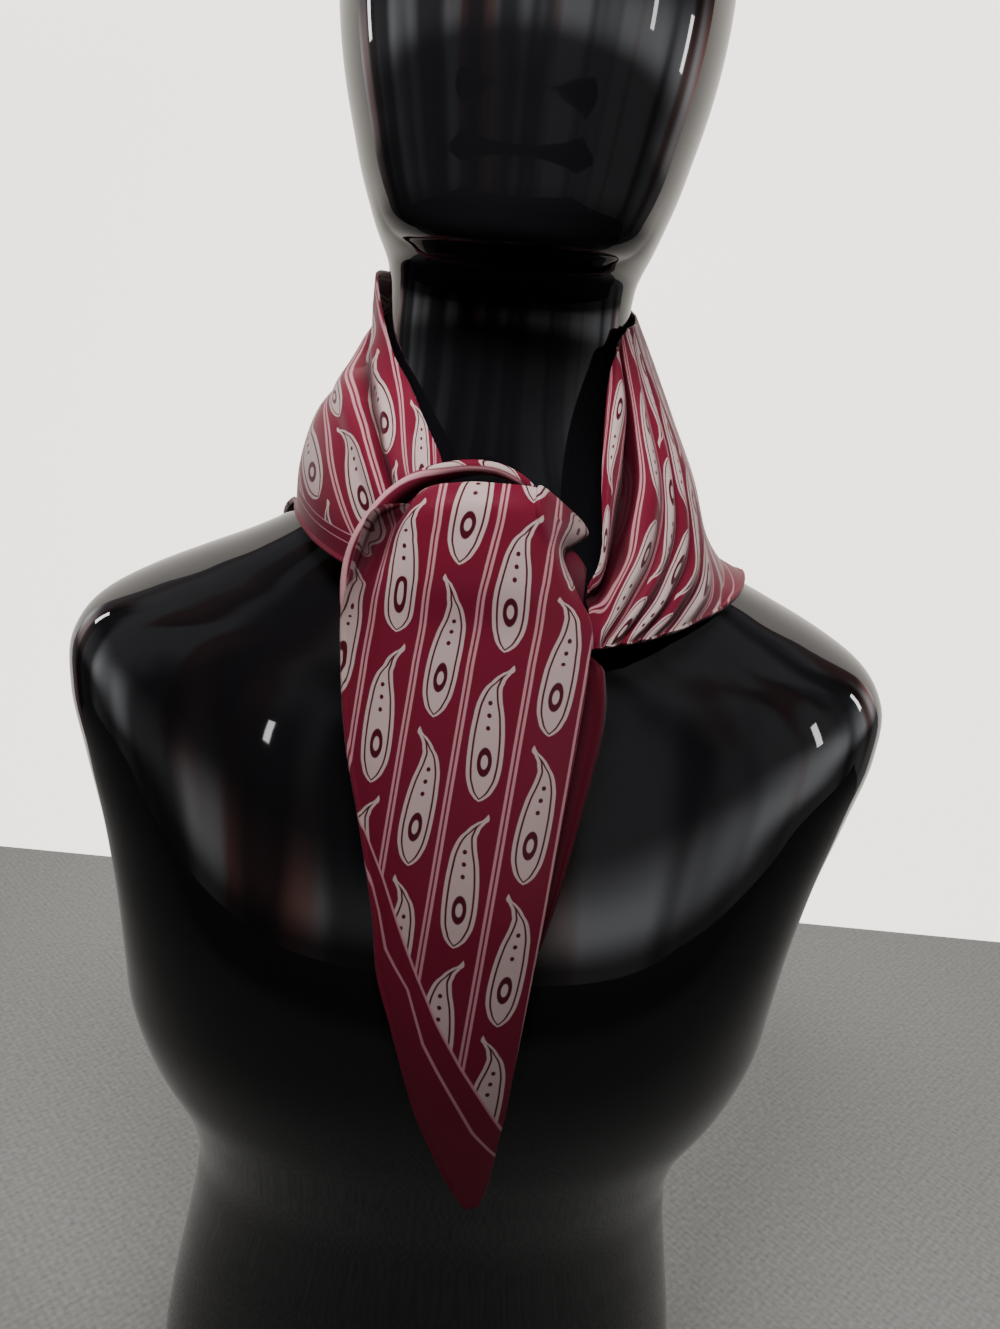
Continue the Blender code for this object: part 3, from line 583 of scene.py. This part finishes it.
def lip_grid(rows):
    """A rolled edge along the lip; its place below the lip's top line is given too."""
    table = np.array(LIP)
    top = smooth(np.arange(len(table)), table, np.linspace(0, len(table) - 1, rows))
    table = np.array(LIP_ROLL)
    steps = smooth(np.arange(len(table)), table, np.linspace(0.0, len(table) - 1.0, 37))
    grid = np.empty((rows, len(steps), 3))
    middle = np.array(LIP_MIDDLE)
    for i, p in enumerate(top):
        t = i / (rows - 1)
        inward = middle - p
        inward[1] = 0.0
        inward /= np.linalg.norm(inward)
        drop = 4.0 * math.sin(math.pi * min(1.0, t * 1.1)) ** 2
        bold = float(ramp(t, 0.06, 0.4) * (1.0 - ramp(t, 0.86, 1.0)))
        for j, (near, out, share) in enumerate(steps):
            out = out if out < 0.0 else out * bold
            grid[i, j] = p + inward * (near * (0.5 + 0.5 * bold) + share * drop) - np.array([0.0, out, 0.0])
    down = lengths(grid, 1)
    return grid, down - down[:, 8:9]


def core_grid(rows, around):
    """Rings of the bound core of the knot."""
    table = np.array(CORE)
    rings = smooth(np.arange(len(table)), table, np.linspace(0, len(table) - 1, rows))
    angle = np.linspace(0.0, 2 * math.pi, around, endpoint=False)
    grid = np.empty((rows, around, 3))
    for i, (x, y, z, deep, tall) in enumerate(rings):
        grid[i, :, 0] = x
        grid[i, :, 1] = y + deep * np.cos(angle)
        grid[i, :, 2] = z + tall * np.sin(angle)
    return grid


def print_place(grid, column, base):
    """Place along the column lines, mm, so that the print lies square on the cloth."""
    along = np.gradient(grid, axis=0)
    across = np.gradient(grid, axis=1)
    ee = np.sum(along * along, axis=2)
    ff = np.sum(along * across, axis=2)
    gg = np.sum(across * across, axis=2)
    cs, cu = np.gradient(column)
    area = np.maximum(ee * gg - ff * ff, 1e-6)
    slope = ((cs * gg - cu * ff) / area)[..., None] * along
    slope = slope + ((cu * ee - cs * ff) / area)[..., None] * across
    slope /= np.maximum(np.linalg.norm(slope, axis=2, keepdims=True), 1e-9)
    run = np.cross(normals(grid), slope)
    down = np.sum(run * along, axis=2)
    over = np.sum(run * across, axis=2)
    place = np.cumsum(down, axis=0) - 0.5 * down
    side = np.cumsum(over, axis=1) - 0.5 * over
    return place[:, base:base + 1] + side - side[:, base:base + 1]


def side_distance(x, z, line):
    """Signed distance to a line in the front view, above and right of it positive."""
    p = np.stack([x, z], axis=-1)
    best = np.full(x.shape, 1.0e6)
    out = np.zeros(x.shape)
    for start, end in zip(np.array(line[:-1]), np.array(line[1:])):
        leg = end - start
        off = p - start
        t = np.clip((off @ leg) / (leg @ leg), 0.0, 1.0)
        gap = np.linalg.norm(off - t[..., None] * leg, axis=-1)
        sign = np.sign(leg[0] * off[..., 1] - leg[1] * off[..., 0])
        nearer = gap < best
        best = np.where(nearer, gap, best)
        out = np.where(nearer, gap * sign, out)
    return out


def tail_column(grid):
    """Number of the print's line at each point of the hanging end, from its right."""
    from_right = lengths(grid[:, ::-1], 1)[:, ::-1]
    # the print's first line as it is seen from the front, a straight line down the end
    offset = grid[..., 0] - (26.5 + 0.0767 * (grid[..., 2] + 73.6))
    count = grid.shape[0]
    line = np.empty(count)
    for i in range(count):
        if offset[i, 0] > 0.0:
            line[i] = from_right[i, 0] + offset[i, 0]
        else:
            line[i] = np.interp(0.0, offset[i], from_right[i])
    rows = np.arange(count)
    weight = np.exp(-0.5 * ((rows[:, None] - rows[None, :]) / 3.0) ** 2)
    line = weight @ line / weight.sum(axis=1)
    s = from_right - line[:, None]
    numbers = [-1.0, 1.0, 2.0, 3.0, 4.0, 7.0]
    hanging = np.interp(s, [-48.0, 0.0, 24.1, 45.6, 66.0, 126.0], numbers)
    crest = np.interp(-offset, [-48.0, 0.0, 21.5, 46.0, 67.0, 127.0], numbers)
    share = ramp(grid[..., 2], -92.0, -56.0) * (s > 0.0)
    return hanging + (crest - hanging) * share


def tail_hem(grid):
    """Distance to the hem of the hanging end, mm of cloth."""
    inner = side_distance(grid[..., 0], grid[..., 2], FRAME_INNER)
    outer = side_distance(grid[..., 0], grid[..., 2], FRAME_OUTER)
    share = np.clip(outer / np.maximum(outer - inner, 1e-6), 0.0, 1.0)
    between = BORDER + (FRAME_IN - BORDER) * share
    return np.where(inner >= 0.0, FRAME_IN + inner, np.where(outer >= 0.0, between, BORDER + outer))


# materials, all worked out by formula


class Nodes:
    """Short names for building a node tree."""

    def __init__(self, name):
        self.material = bpy.data.materials.new(name)
        self.material.use_nodes = True
        self.tree = self.material.node_tree
        self.shader = self.tree.nodes["Principled BSDF"]

    def link(self, source, target):
        """Join a value or a socket to an input."""
        if isinstance(source, (int, float)):
            target.default_value = source
        else:
            self.tree.links.new(source, target)

    def math(self, kind, one, two=0.0, three=0.0):
        """One step of arithmetic."""
        node = self.tree.nodes.new("ShaderNodeMath")
        node.operation = kind
        for socket, value in zip(node.inputs, (one, two, three)):
            self.link(value, socket)
        return node.outputs[0]

    def curve(self, value, points):
        """Smooth function of a value through points, both in their own range."""
        xs = [p[0] for p in points]
        ys = [p[1] for p in points]
        low, high = min(ys), max(ys)
        share = self.math("DIVIDE", self.math("SUBTRACT", value, xs[0]), xs[-1] - xs[0])
        node = self.tree.nodes.new("ShaderNodeFloatCurve")
        line = node.mapping.curves[0]
        for k, (x, y) in enumerate(points):
            place = ((x - xs[0]) / (xs[-1] - xs[0]), (y - low) / max(high - low, 1e-9))
            if k == 0:
                line.points[0].location = place
            elif k == len(points) - 1:
                line.points[-1].location = place
            else:
                line.points.new(*place)
        node.mapping.update()
        self.link(share, node.inputs["Value"])
        return self.math("MULTIPLY_ADD", node.outputs[0], high - low, low)

    def step(self, value, edge, soft):
        """0 below the edge, 1 above it, over a soft width."""
        node = self.tree.nodes.new("ShaderNodeMapRange")
        node.interpolation_type = "SMOOTHSTEP"
        self.link(value, node.inputs["Value"])
        node.inputs["From Min"].default_value = edge - 0.5 * soft
        node.inputs["From Max"].default_value = edge + 0.5 * soft
        return node.outputs[0]

    def line(self, value, centre, half, soft):
        """1 on a line of the given half width."""
        away = self.math("ABSOLUTE", self.math("SUBTRACT", value, centre))
        return self.math("SUBTRACT", 1.0, self.step(away, half, soft))

    def mix(self, amount, one, two):
        """A colour between two colours."""
        node = self.tree.nodes.new("ShaderNodeMix")
        node.data_type = "RGBA"
        self.link(amount, node.inputs["Factor"])
        for socket, value in ((node.inputs[6], one), (node.inputs[7], two)):
            if isinstance(value, tuple):
                socket.default_value = value + (1.0,)
            else:
                self.tree.links.new(value, socket)
        return node.outputs[2]

    def uv(self, layer):
        """A stored layer as a vector and its two parts."""
        node = self.tree.nodes.new("ShaderNodeUVMap")
        node.uv_map = layer
        split = self.tree.nodes.new("ShaderNodeSeparateXYZ")
        self.tree.links.new(node.outputs[0], split.inputs[0])
        return node.outputs[0], split.outputs[0], split.outputs[1]

    def noise(self, scale, detail=2.0, vector=None):
        """Soft noise, over the object where no vector is given."""
        node = self.tree.nodes.new("ShaderNodeTexNoise")
        node.inputs["Scale"].default_value = scale
        node.inputs["Detail"].default_value = detail
        if vector is None:
            coords = self.tree.nodes.new("ShaderNodeTexCoord")
            vector = coords.outputs["Object"]
        self.tree.links.new(vector, node.inputs["Vector"])
        return node.outputs[0]


BURGUNDY = (0.142, 0.0078, 0.0240)
SILVER = (0.475, 0.352, 0.338)
PINK = (0.48, 0.235, 0.26)
WINE = (0.055, 0.003, 0.009)
FOLD_SHADE = (0.026, 0.0022, 0.005)     # painted shade of cloth deep in a fold
MM = 0.001
# the paisley along its column: place, then the middle of the leaf
LEAF_SPINE = [(-30, 5.6), (-27.5, 5.4), (-25, 3.2), (-21, 0.2), (-15, -1.6), (-6, -1.0), (6, -0.2),
              (18, 0.3), (30, 0.3)]
# and its half width
LEAF_WIDTH = [(-30, -1.0), (-28, 0.5), (-25, 1.7), (-21, 2.7), (-15, 4.6), (-6, 6.6), (6, 7.5), (15, 7.2),
              (21, 5.6), (25.5, 2.4), (27.5, -0.6), (30, -2.0)]


def millimetres(points):
    """A table of points in millimetres, given in metres."""
    return [(x * MM, y * MM) for x, y in points]


def leaf_print(n, along, across, soft):
    """Masks of the paisley, of its inner drawing and of the twin lines."""
    column = n.math("FLOOR", n.math("DIVIDE", across, COLUMN * MM))
    middle = n.math("MULTIPLY_ADD", column, COLUMN * MM, 0.5 * COLUMN * MM)
    local = n.math("SUBTRACT", across, middle)
    odd = n.math("FLOORED_MODULO", column, 2.0)
    facing = n.math("MULTIPLY_ADD", odd, -2.0, 1.0)
    run = n.math("FLOORED_MODULO", n.math("MULTIPLY_ADD", odd, 0.5 * DROP * MM, along), DROP * MM)
    y = n.math("SUBTRACT", run, 0.5 * DROP * MM)
    x = n.math("MULTIPLY", local, facing)
    spine = n.curve(y, millimetres(LEAF_SPINE))
    wide = n.curve(y, millimetres(LEAF_WIDTH))
    shift = n.math("SUBTRACT", x, spine)
    inside = n.math("SUBTRACT", wide, n.math("ABSOLUTE", shift))
    leaf = n.step(inside, 0.0, soft)
    contour = n.line(inside, 2.0 * MM, 0.42 * MM, soft)
    heart_y = n.math("DIVIDE", n.math("SUBTRACT", y, 11.0 * MM), 1.9)
    shift_squared = n.math("MULTIPLY", shift, shift)
    heart = n.math("SQRT", n.math("ADD", n.math("MULTIPLY", heart_y, heart_y), shift_squared))
    seed = n.math("SUBTRACT", 1.0, n.step(heart, 3.1 * MM, soft))
    eye = n.math("SUBTRACT", 1.0, n.step(heart, 1.5 * MM, soft))
    near = n.math("SUBTRACT", n.math("FLOORED_MODULO", n.math("ADD", y, 20.0 * MM), 5.0 * MM), 2.5 * MM)
    dot = n.math("SQRT", n.math("ADD", n.math("MULTIPLY", near, near), shift_squared))
    dot = n.math("SUBTRACT", 1.0, n.step(dot, 0.95 * MM, soft))
    dot = n.math("MULTIPLY", dot, n.line(y, -7.5 * MM, 7.3 * MM, soft))
    detail = n.math("MAXIMUM", contour, n.math("MAXIMUM", dot, n.math("SUBTRACT", seed, eye)))
    detail = n.math("MULTIPLY", detail, leaf)
    twin = n.line(n.math("ABSOLUTE", local), (0.5 * COLUMN - 1.05) * MM, 0.62 * MM, soft)
    return leaf, detail, twin


def silk(name, printed=True, framed=True, lip=False, shade_scale=1.0):
    """Silk with its print, its border and, on the lip, its pale edge, painted darker toward the fold shade
    colour where the shade layer is low; shade_scale darkens the dye all over as painted shade.
    """
    n = Nodes(name)
    place, along, across = n.uv("print")
    # the hem layer holds the distance to the hem and the painted shade
    _, hem, shade = n.uv("hem")
    soft = 0.35 * MM
    dye_and_shade = tuple(c * shade_scale for c in BURGUNDY)
    ground = n.mix(n.noise(18.0), dye_and_shade, tuple(c * 0.84 for c in dye_and_shade))
    colour = ground
    if printed:
        leaf, detail, twin = leaf_print(n, along, across, soft)
        if lip:
            above = n.math("SUBTRACT", 1.0, n.step(hem, -0.2 * MM, soft))
            leaf = n.math("MULTIPLY", leaf, above)
            detail = n.math("MULTIPLY", detail, above)
            twin = 0.0
        colour = n.mix(leaf, colour, n.mix(n.noise(30.0), SILVER, tuple(c * 0.9 for c in SILVER)))
        colour = n.mix(detail, colour, WINE)
        colour = n.mix(n.math("MULTIPLY", twin, 0.85), colour, PINK)
    if framed:
        border = n.math("SUBTRACT", 1.0, n.step(hem, FRAME_IN * MM, soft))
        colour = n.mix(border, colour, ground)
        for centre in (BORDER, FRAME_IN):
            colour = n.mix(n.math("MULTIPLY", n.line(hem, centre * MM, 0.6 * MM, soft), 0.8), colour, PINK)
    if lip:
        colour = n.mix(n.line(hem, 1.1 * MM, 0.95 * MM, 0.7 * MM), colour, PINK)
    # painted shade: the colour falls toward the fold shade colour where the stored shade is low
    colour = n.mix(shade, FOLD_SHADE, colour)
    n.link(colour, n.shader.inputs["Base Color"])
    n.shader.inputs["Roughness"].default_value = 0.44
    n.shader.inputs["Specular IOR Level"].default_value = 0.3
    n.shader.inputs["Sheen Weight"].default_value = 0.10
    n.shader.inputs["Sheen Roughness"].default_value = 0.4
    n.shader.inputs["Sheen Tint"].default_value = (0.9, 0.5, 0.6, 1.0)
    weave = n.tree.nodes.new("ShaderNodeTexNoise")
    weave.inputs["Scale"].default_value = 900.0
    n.tree.links.new(place, weave.inputs["Vector"])
    relief = n.tree.nodes.new("ShaderNodeBump")
    relief.inputs["Strength"].default_value = 0.08
    relief.inputs["Distance"].default_value = 0.0004
    n.tree.links.new(weave.outputs[0], relief.inputs["Height"])
    n.tree.links.new(relief.outputs[0], n.shader.inputs["Normal"])
    return n.material


def gloss_black():
    """The high gloss of the display form, dull where the scarf and chin shade it."""
    n = Nodes("gloss_black")
    n.link(n.mix(n.noise(3.0), (0.004, 0.004, 0.005), (0.007, 0.007, 0.008)), n.shader.inputs["Base Color"])
    n.link(n.math("MULTIPLY_ADD", n.noise(7.0), 0.02, 0.02), n.shader.inputs["Roughness"])
    coords = n.tree.nodes.new("ShaderNodeTexCoord")
    split = n.tree.nodes.new("ShaderNodeSeparateXYZ")
    n.tree.links.new(coords.outputs["Object"], split.inputs[0])
    # painted shade on the gloss: its reflection is turned down on the front of the neck and under the chin
    under = n.math("SUBTRACT", n.step(split.outputs[2], 0.50, 0.05), n.step(split.outputs[2], 0.656, 0.014))
    front = n.step(n.math("MULTIPLY", split.outputs[1], -1.0), 0.03, 0.03)
    shaded_gloss = n.math("MULTIPLY", under, front)
    n.link(n.math("MULTIPLY_ADD", shaded_gloss, -0.44, 0.5), n.shader.inputs["Specular IOR Level"])
    return n.material


def plain(name, one, two, scale, roughness):
    """A matt surface of two near tones."""
    n = Nodes(name)
    n.link(n.mix(n.noise(scale), one, two), n.shader.inputs["Base Color"])
    n.shader.inputs["Roughness"].default_value = roughness
    return n.material


# pieces of the model

points, faces = bust_mesh(240, 192)
tree = BVHTree.FromPolygons([Vector(p) for p in points], faces)
mesh = bpy.data.meshes.new("bust_form")
mesh.from_pydata([tuple(p) for p in to_world(points)], [], faces)
mesh.polygons.foreach_set("use_smooth", [len(f) == 4 or i % 2 == 1 for i, f in enumerate(faces)])
mesh.materials.append(gloss_black())
bust = bpy.data.objects.new("bust_form", mesh)
bpy.context.scene.collection.objects.link(bust)
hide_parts("bust")
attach(bust, "root")

SILK_FACE = silk("printed_silk")
SILK_PLAIN = silk("plain_silk", False, False)
# painted shade: a darker copy of the plain silk, for the end that hangs behind
SILK_SHADED = silk("shaded_silk", False, False, False, 0.45)
SILK_LIP = silk("edged_silk", True, False, True)


def dress(item, node):
    """Hide the imported part that a stretch of silk stands for and hang the silk on the root."""
    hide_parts(node)
    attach(item, "root")


# the print's place over the whole wrap, on one coarse grid
COARSE_S = np.linspace(0.0, 20.0, 241)
COARSE_U = np.linspace(0.0, 1.0, 61)
coarse = wrap_points(COARSE_S, COARSE_U)
COARSE_COLUMN = fold_number(COARSE_S, COARSE_U)
COARSE_PLACE = print_place(coarse, COARSE_COLUMN, 25)


def resample(values, stations, across):
    """Values of the coarse grid at the asked stations and shares."""
    rows = smooth(COARSE_S, values, stations)
    return smooth(COARSE_U, rows.T, across).T


def wrap_shade(stations, across):
    """Painted shade of the folds of the wrap: how much light they let in."""
    s = stations[:, None]
    u = across[None, :]
    left = 1.0 - np.clip((s - 5.5) / 2.5, 0.0, 1.0)
    path = np.interp(s, [0.0, 1.0, 2.0, 3.0, 4.0, 5.5, 7.0], CREASE)
    painted_dark = 0.88 * left * bump(u, path - 0.01, 0.075)
    fold = fold_number(stations, across)
    valley = ramp(fold, 1.07, 1.18) * (1.0 - ramp(fold, 1.84, 1.98)) * ramp(s, 15.6, 16.4)
    trough = (0.5 - 0.5 * np.cos(2 * math.pi * (fold - 3.5))) * ramp(fold, 2.9, 3.4) * ramp(s, 15.0, 16.4)
    return 1.0 - np.maximum(painted_dark, np.maximum(0.985 * valley, 0.5 * trough ** 2))


def wrap_piece(name, grid, stations, node):
    """One stretch of the wrap with its print, hem and shade."""
    across = np.linspace(0.0, 1.0, grid.shape[1])
    shade = wrap_shade(stations, across)
    table = np.array(HEMS)
    turned, held = smooth(table[:, 0], table[:, 1:], stations).T
    hem = turned[:, None] + held[:, None] * hem_distance(grid, grid[:, -1])
    place = resample(COARSE_PLACE, stations, across)
    column = fold_number(stations, across) * COLUMN
    item = silk_piece(name, grid, place, column, hem, shade, SILK_FACE, ("right",))
    dress(item, node)
    return item


stations = np.linspace(0.0, LEFT_END, 130)
wrap_piece("collar_left_silk", wrap_grid(stations, 90), stations, "collar_left")
stations = np.linspace(LEFT_END, RIGHT_END, 190)
wrap_piece("collar_back_silk", wrap_grid(stations, 110), stations, "collar_back")
stations = np.linspace(RIGHT_END, len(WRAP) - 1.0, 170)
wrap_piece("collar_right_silk", gathered(stations, 190), stations, "collar_right")

grid = tail_grid(240, 110)
column = tail_column(grid)
share = np.linspace(0.0, 1.0, grid.shape[1])[None, :]
# painted shade: dark in the valley beside the lip at the crest, a little darker on the turned flap
shade = 1.0 - 0.85 * (1.0 - ramp(share, 0.09, 0.19)) * ramp(grid[..., 2], -125.0, -72.0)
shade = shade * (1.0 - 0.35 * ramp(share, 0.955, 0.975) * ramp(grid[..., 2], -95.0, -75.0))
place = print_place(grid, column, 66)
hem = tail_hem(grid)
tail = silk_piece("tail_front_silk", grid, place, column * COLUMN, hem, shade, SILK_FACE, ("left",))
dress(tail, "tail_front")

grid, down = lip_grid(150)
t = np.linspace(0.0, 1.0, grid.shape[0])[:, None]
lifted = 2.5 * ramp(t, 0.45, 0.65)
# painted shade: the lip darkens below its top edge, into the hollow behind the crest
shade = 1.0 - 0.9 * ramp(down, 4.8 + 0.2 * lifted, 7.4)
lip = silk_piece("tail_lip_silk", grid, 2.6 * lengths(grid, 0), 7.0 + down, down - lifted, shade, SILK_LIP)
dress(lip, "tail_lip")

# the end that hangs behind is painted in shade all over by the darker silk
grid = rear_grid(80, 50)
down = lengths(grid, 1)
rear = silk_piece("tail_rear_silk", grid, lengths(grid, 0), down, down, np.full(down.shape, 1.0), SILK_SHADED,
                  ("right",))
dress(rear, "tail_rear")


def solid_piece(name, grid, face):
    """A closed body on rings of points."""
    rows, around = grid.shape[:2]
    points = list(grid.reshape(-1, 3)) + [grid[0].mean(axis=0), grid[-1].mean(axis=0)]
    faces = []
    for i in range(rows - 1):
        for k in range(around):
            m = (k + 1) % around
            faces.append((i * around + k, i * around + m, (i + 1) * around + m, (i + 1) * around + k))
    last = (rows - 1) * around
    for k in range(around):
        m = (k + 1) % around
        faces.append((len(points) - 2, m, k))
        faces.append((len(points) - 1, last + k, last + m))
    mesh = bpy.data.meshes.new(name)
    mesh.from_pydata([tuple(p) for p in to_world(points)], [], faces)
    mesh.polygons.foreach_set("use_smooth", [True] * len(mesh.polygons))
    mesh.materials.append(face)
    for layer in ("print", "hem"):
        mesh.uv_layers.new(name=layer)
    item = bpy.data.objects.new(name, mesh)
    bpy.context.scene.collection.objects.link(item)
    return item


core = solid_piece("knot_core_silk", core_grid(60, 64), SILK_PLAIN)
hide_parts("knot_core")
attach(core, "root")

# the stage around the model


def panel(name, corners, face):
    """One flat sheet of the stage."""
    mesh = bpy.data.meshes.new(name)
    mesh.from_pydata(corners, [], [(0, 1, 2, 3)])
    mesh.materials.append(face)
    item = bpy.data.objects.new(name, mesh)
    bpy.context.scene.collection.objects.link(item)
    return item


def woven(name, one, two, pitch):
    """A plain weave of two tones."""
    n = Nodes(name)
    coords = n.tree.nodes.new("ShaderNodeTexCoord")
    split = n.tree.nodes.new("ShaderNodeSeparateXYZ")
    n.tree.links.new(coords.outputs["Object"], split.inputs[0])
    warp = n.math("SINE", n.math("MULTIPLY", split.outputs[0], 2 * math.pi / pitch))
    weft = n.math("SINE", n.math("MULTIPLY", split.outputs[1], 2 * math.pi / pitch))
    grain = n.math("MULTIPLY_ADD", n.math("MULTIPLY", warp, weft), 0.12, n.noise(240.0))
    # painted reflection: as the gloss mirrors it, the floor in front of the table is darker, for a darker
    # room there
    path = n.tree.nodes.new("ShaderNodeLightPath")
    away = n.step(n.math("MULTIPLY", split.outputs[1], -1.0), 0.9, 0.4)
    painted_dark = n.math("MULTIPLY", n.math("MULTIPLY", away, path.outputs["Is Glossy Ray"]), 0.9)
    n.link(n.mix(painted_dark, n.mix(grain, one, two), (0.03, 0.03, 0.03)), n.shader.inputs["Base Color"])
    n.shader.inputs["Roughness"].default_value = 0.8
    return n.material


WALL_Y = 0.57            # the wall behind the table, from the photo's far table edge
panel("floor", [(-3, -3, 0), (3, -3, 0), (3, WALL_Y, 0), (-3, WALL_Y, 0)],
      woven("pale_floor", (0.56, 0.565, 0.55), (0.27, 0.27, 0.262), 0.007))
glow = plain("pale_wall", (0.82, 0.765, 0.71), (0.79, 0.735, 0.675), 3.0, 0.8)
shader = glow.node_tree.nodes["Principled BSDF"]
glow.node_tree.links.new(shader.inputs["Base Color"].links[0].from_socket, shader.inputs["Emission Color"])
# the wall's glow as the gloss mirrors it, as it lights the cloth, and as it is seen
seen = glow.node_tree.nodes.new("ShaderNodeLightPath")
glow_strength = 1.15
for ray, more in (("Is Diffuse Ray", -0.70), ("Is Camera Ray", 2.35)):
    part = glow.node_tree.nodes.new("ShaderNodeMath")
    part.operation = "MULTIPLY_ADD"
    part.inputs[1].default_value = more
    glow.node_tree.links.new(seen.outputs[ray], part.inputs[0])
    if isinstance(glow_strength, float):
        part.inputs[2].default_value = glow_strength
    else:
        glow.node_tree.links.new(glow_strength, part.inputs[2])
    glow_strength = part.outputs[0]
glow.node_tree.links.new(glow_strength, shader.inputs["Emission Strength"])
# seen from behind the wall is clear, so that the back of the bust can be looked at
facing = glow.node_tree.nodes.new("ShaderNodeNewGeometry")
clear = glow.node_tree.nodes.new("ShaderNodeMath")
clear.operation = "SUBTRACT"
clear.inputs[0].default_value = 1.0
glow.node_tree.links.new(facing.outputs["Backfacing"], clear.inputs[1])
glow.node_tree.links.new(clear.outputs[0], shader.inputs["Alpha"])
panel("wall", [(-0.9, WALL_Y, 0), (0.9, WALL_Y, 0), (0.9, WALL_Y, 2), (-0.9, WALL_Y, 2)], glow)


def lamp(name, place, target, size, power, mirrored, spread=180.0):
    """An area lamp that is either mirrored in the gloss or lights the rest, not both."""
    data = bpy.data.lights.new(name, "AREA")
    data.shape = "RECTANGLE"
    data.size = size[0]
    data.size_y = size[1]
    data.energy = power
    data.spread = math.radians(spread)
    item = bpy.data.objects.new(name, data)
    item.location = place
    aim = Vector(target) - Vector(place)
    item.rotation_euler = aim.to_track_quat("-Z", "Y").to_euler()
    item.visible_glossy = mirrored
    item.visible_diffuse = not mirrored
    bpy.context.scene.collection.objects.link(item)
    return item


lamp("key", (-0.06, -0.31, 0.98), (0.0, -0.04, 0.66), (0.3, 0.14), 1.5, False, 90.0)
lamp("fill", (0.75, -0.7, 1.0), (0.0, 0.0, 0.5), (0.25, 0.6), 0.28, False)
lamp("left", (-0.8, -0.5, 1.0), (0.0, 0.0, 0.5), (0.25, 0.5), 0.28, False)
lamp("floor_wash", (0.0, 0.40, 1.3), (0.0, 0.33, 0.0), (1.8, 0.3), 4.6, False)
# name, direction from the front toward the viewer's right in degrees, height, size
for name, turn, height, wide, tall in (
        ("strip_far_left", -113.0, 1.12, 0.11, 0.36),
        ("strip_left", -37.0, 1.5, 0.06, 0.16),
        ("strip_right", 77.0, 1.14, 0.11, 0.36),
        ("strip_far_right", 106.0, 1.04, 0.11, 0.36)):
    turn = math.radians(turn)
    place = (2.4 * math.sin(turn), -2.4 * math.cos(turn), height)
    lamp(name, place, (0.0, 0.0, 0.7), (wide, tall), 48.0 * wide * tall, True)

# a dim room: soft upright bands for the gloss to mirror, an even glow for the rest
world = bpy.data.worlds.new("studio")
world.use_nodes = True
nodes = world.node_tree.nodes
links = world.node_tree.links
coords = nodes.new("ShaderNodeTexCoord")
squeeze = nodes.new("ShaderNodeVectorMath")
squeeze.operation = "MULTIPLY"
squeeze.inputs[1].default_value = (2.2, 2.2, 0.4)
links.new(coords.outputs["Generated"], squeeze.inputs[0])
bands = nodes.new("ShaderNodeTexNoise")
bands.inputs["Scale"].default_value = 1.3
bands.inputs["Detail"].default_value = 1.5
links.new(squeeze.outputs[0], bands.inputs["Vector"])
split = nodes.new("ShaderNodeSeparateXYZ")
links.new(coords.outputs["Generated"], split.inputs[0])


def world_range(value, low, high, start, end):
    """A smooth step of the room's light between two values."""
    node = nodes.new("ShaderNodeMapRange")
    node.interpolation_type = "SMOOTHSTEP"
    for socket, number in zip(list(node.inputs)[1:5], (low, high, start, end)):
        socket.default_value = number
    links.new(value, node.inputs["Value"])
    return node.outputs[0]


strength = world_range(bands.outputs["Fac"], 0.38, 0.60, 0.3, 2.1)
lifted = world_range(split.outputs[2], -0.07, 0.08, 0.12, 1.0)
lowered = world_range(split.outputs[2], 0.10, 0.30, 1.0, 0.16)


def world_product(one, two):
    """Two factors of the room's light, multiplied."""
    node = nodes.new("ShaderNodeMath")
    node.operation = "MULTIPLY"
    links.new(one, node.inputs[0])
    links.new(two, node.inputs[1])
    return node.outputs[0]


light_path = nodes.new("ShaderNodeLightPath")
choice = nodes.new("ShaderNodeMix")
choice.inputs[2].default_value = 0.04
links.new(light_path.outputs["Is Glossy Ray"], choice.inputs["Factor"])
links.new(world_product(world_product(strength, lifted), lowered), choice.inputs[3])
tint = nodes.new("ShaderNodeMix")
tint.data_type = "RGBA"
tint.inputs[6].default_value = (0.55, 0.26, 0.22, 1.0)
tint.inputs[7].default_value = (0.86, 0.87, 0.90, 1.0)
links.new(world_range(bands.outputs["Color"], 0.40, 0.50, 0.0, 1.0), tint.inputs["Factor"])
background = nodes["Background"]
links.new(tint.outputs[2], background.inputs["Color"])
links.new(choice.outputs[0], background.inputs["Strength"])
bpy.context.scene.world = world

# the camera that was fitted to the bust's outline
PITCH = math.radians(17.0)
ROLL = math.radians(5.5)
LENS = 27.09
forward = Vector((0.0, math.cos(PITCH), -math.sin(PITCH)))
raised = Vector((0.0, math.sin(PITCH), math.cos(PITCH)))
right = Vector((1.0, 0.0, 0.0))
cam_x = math.cos(ROLL) * right + math.sin(ROLL) * raised
cam_y = math.cos(ROLL) * raised - math.sin(ROLL) * right
data = bpy.data.cameras.new("camera")
data.sensor_fit = "VERTICAL"
data.sensor_height = 36.0
data.lens = LENS
camera = bpy.data.objects.new("camera", data)
turn = Matrix((cam_x, cam_y, -forward)).transposed().to_4x4()
camera.matrix_world = Matrix.Translation((0.011, (-480.0 - Y_CENTRE) * 0.001, BASE_DROP * 0.001)) @ turn
bpy.context.scene.collection.objects.link(camera)
bpy.context.scene.camera = camera
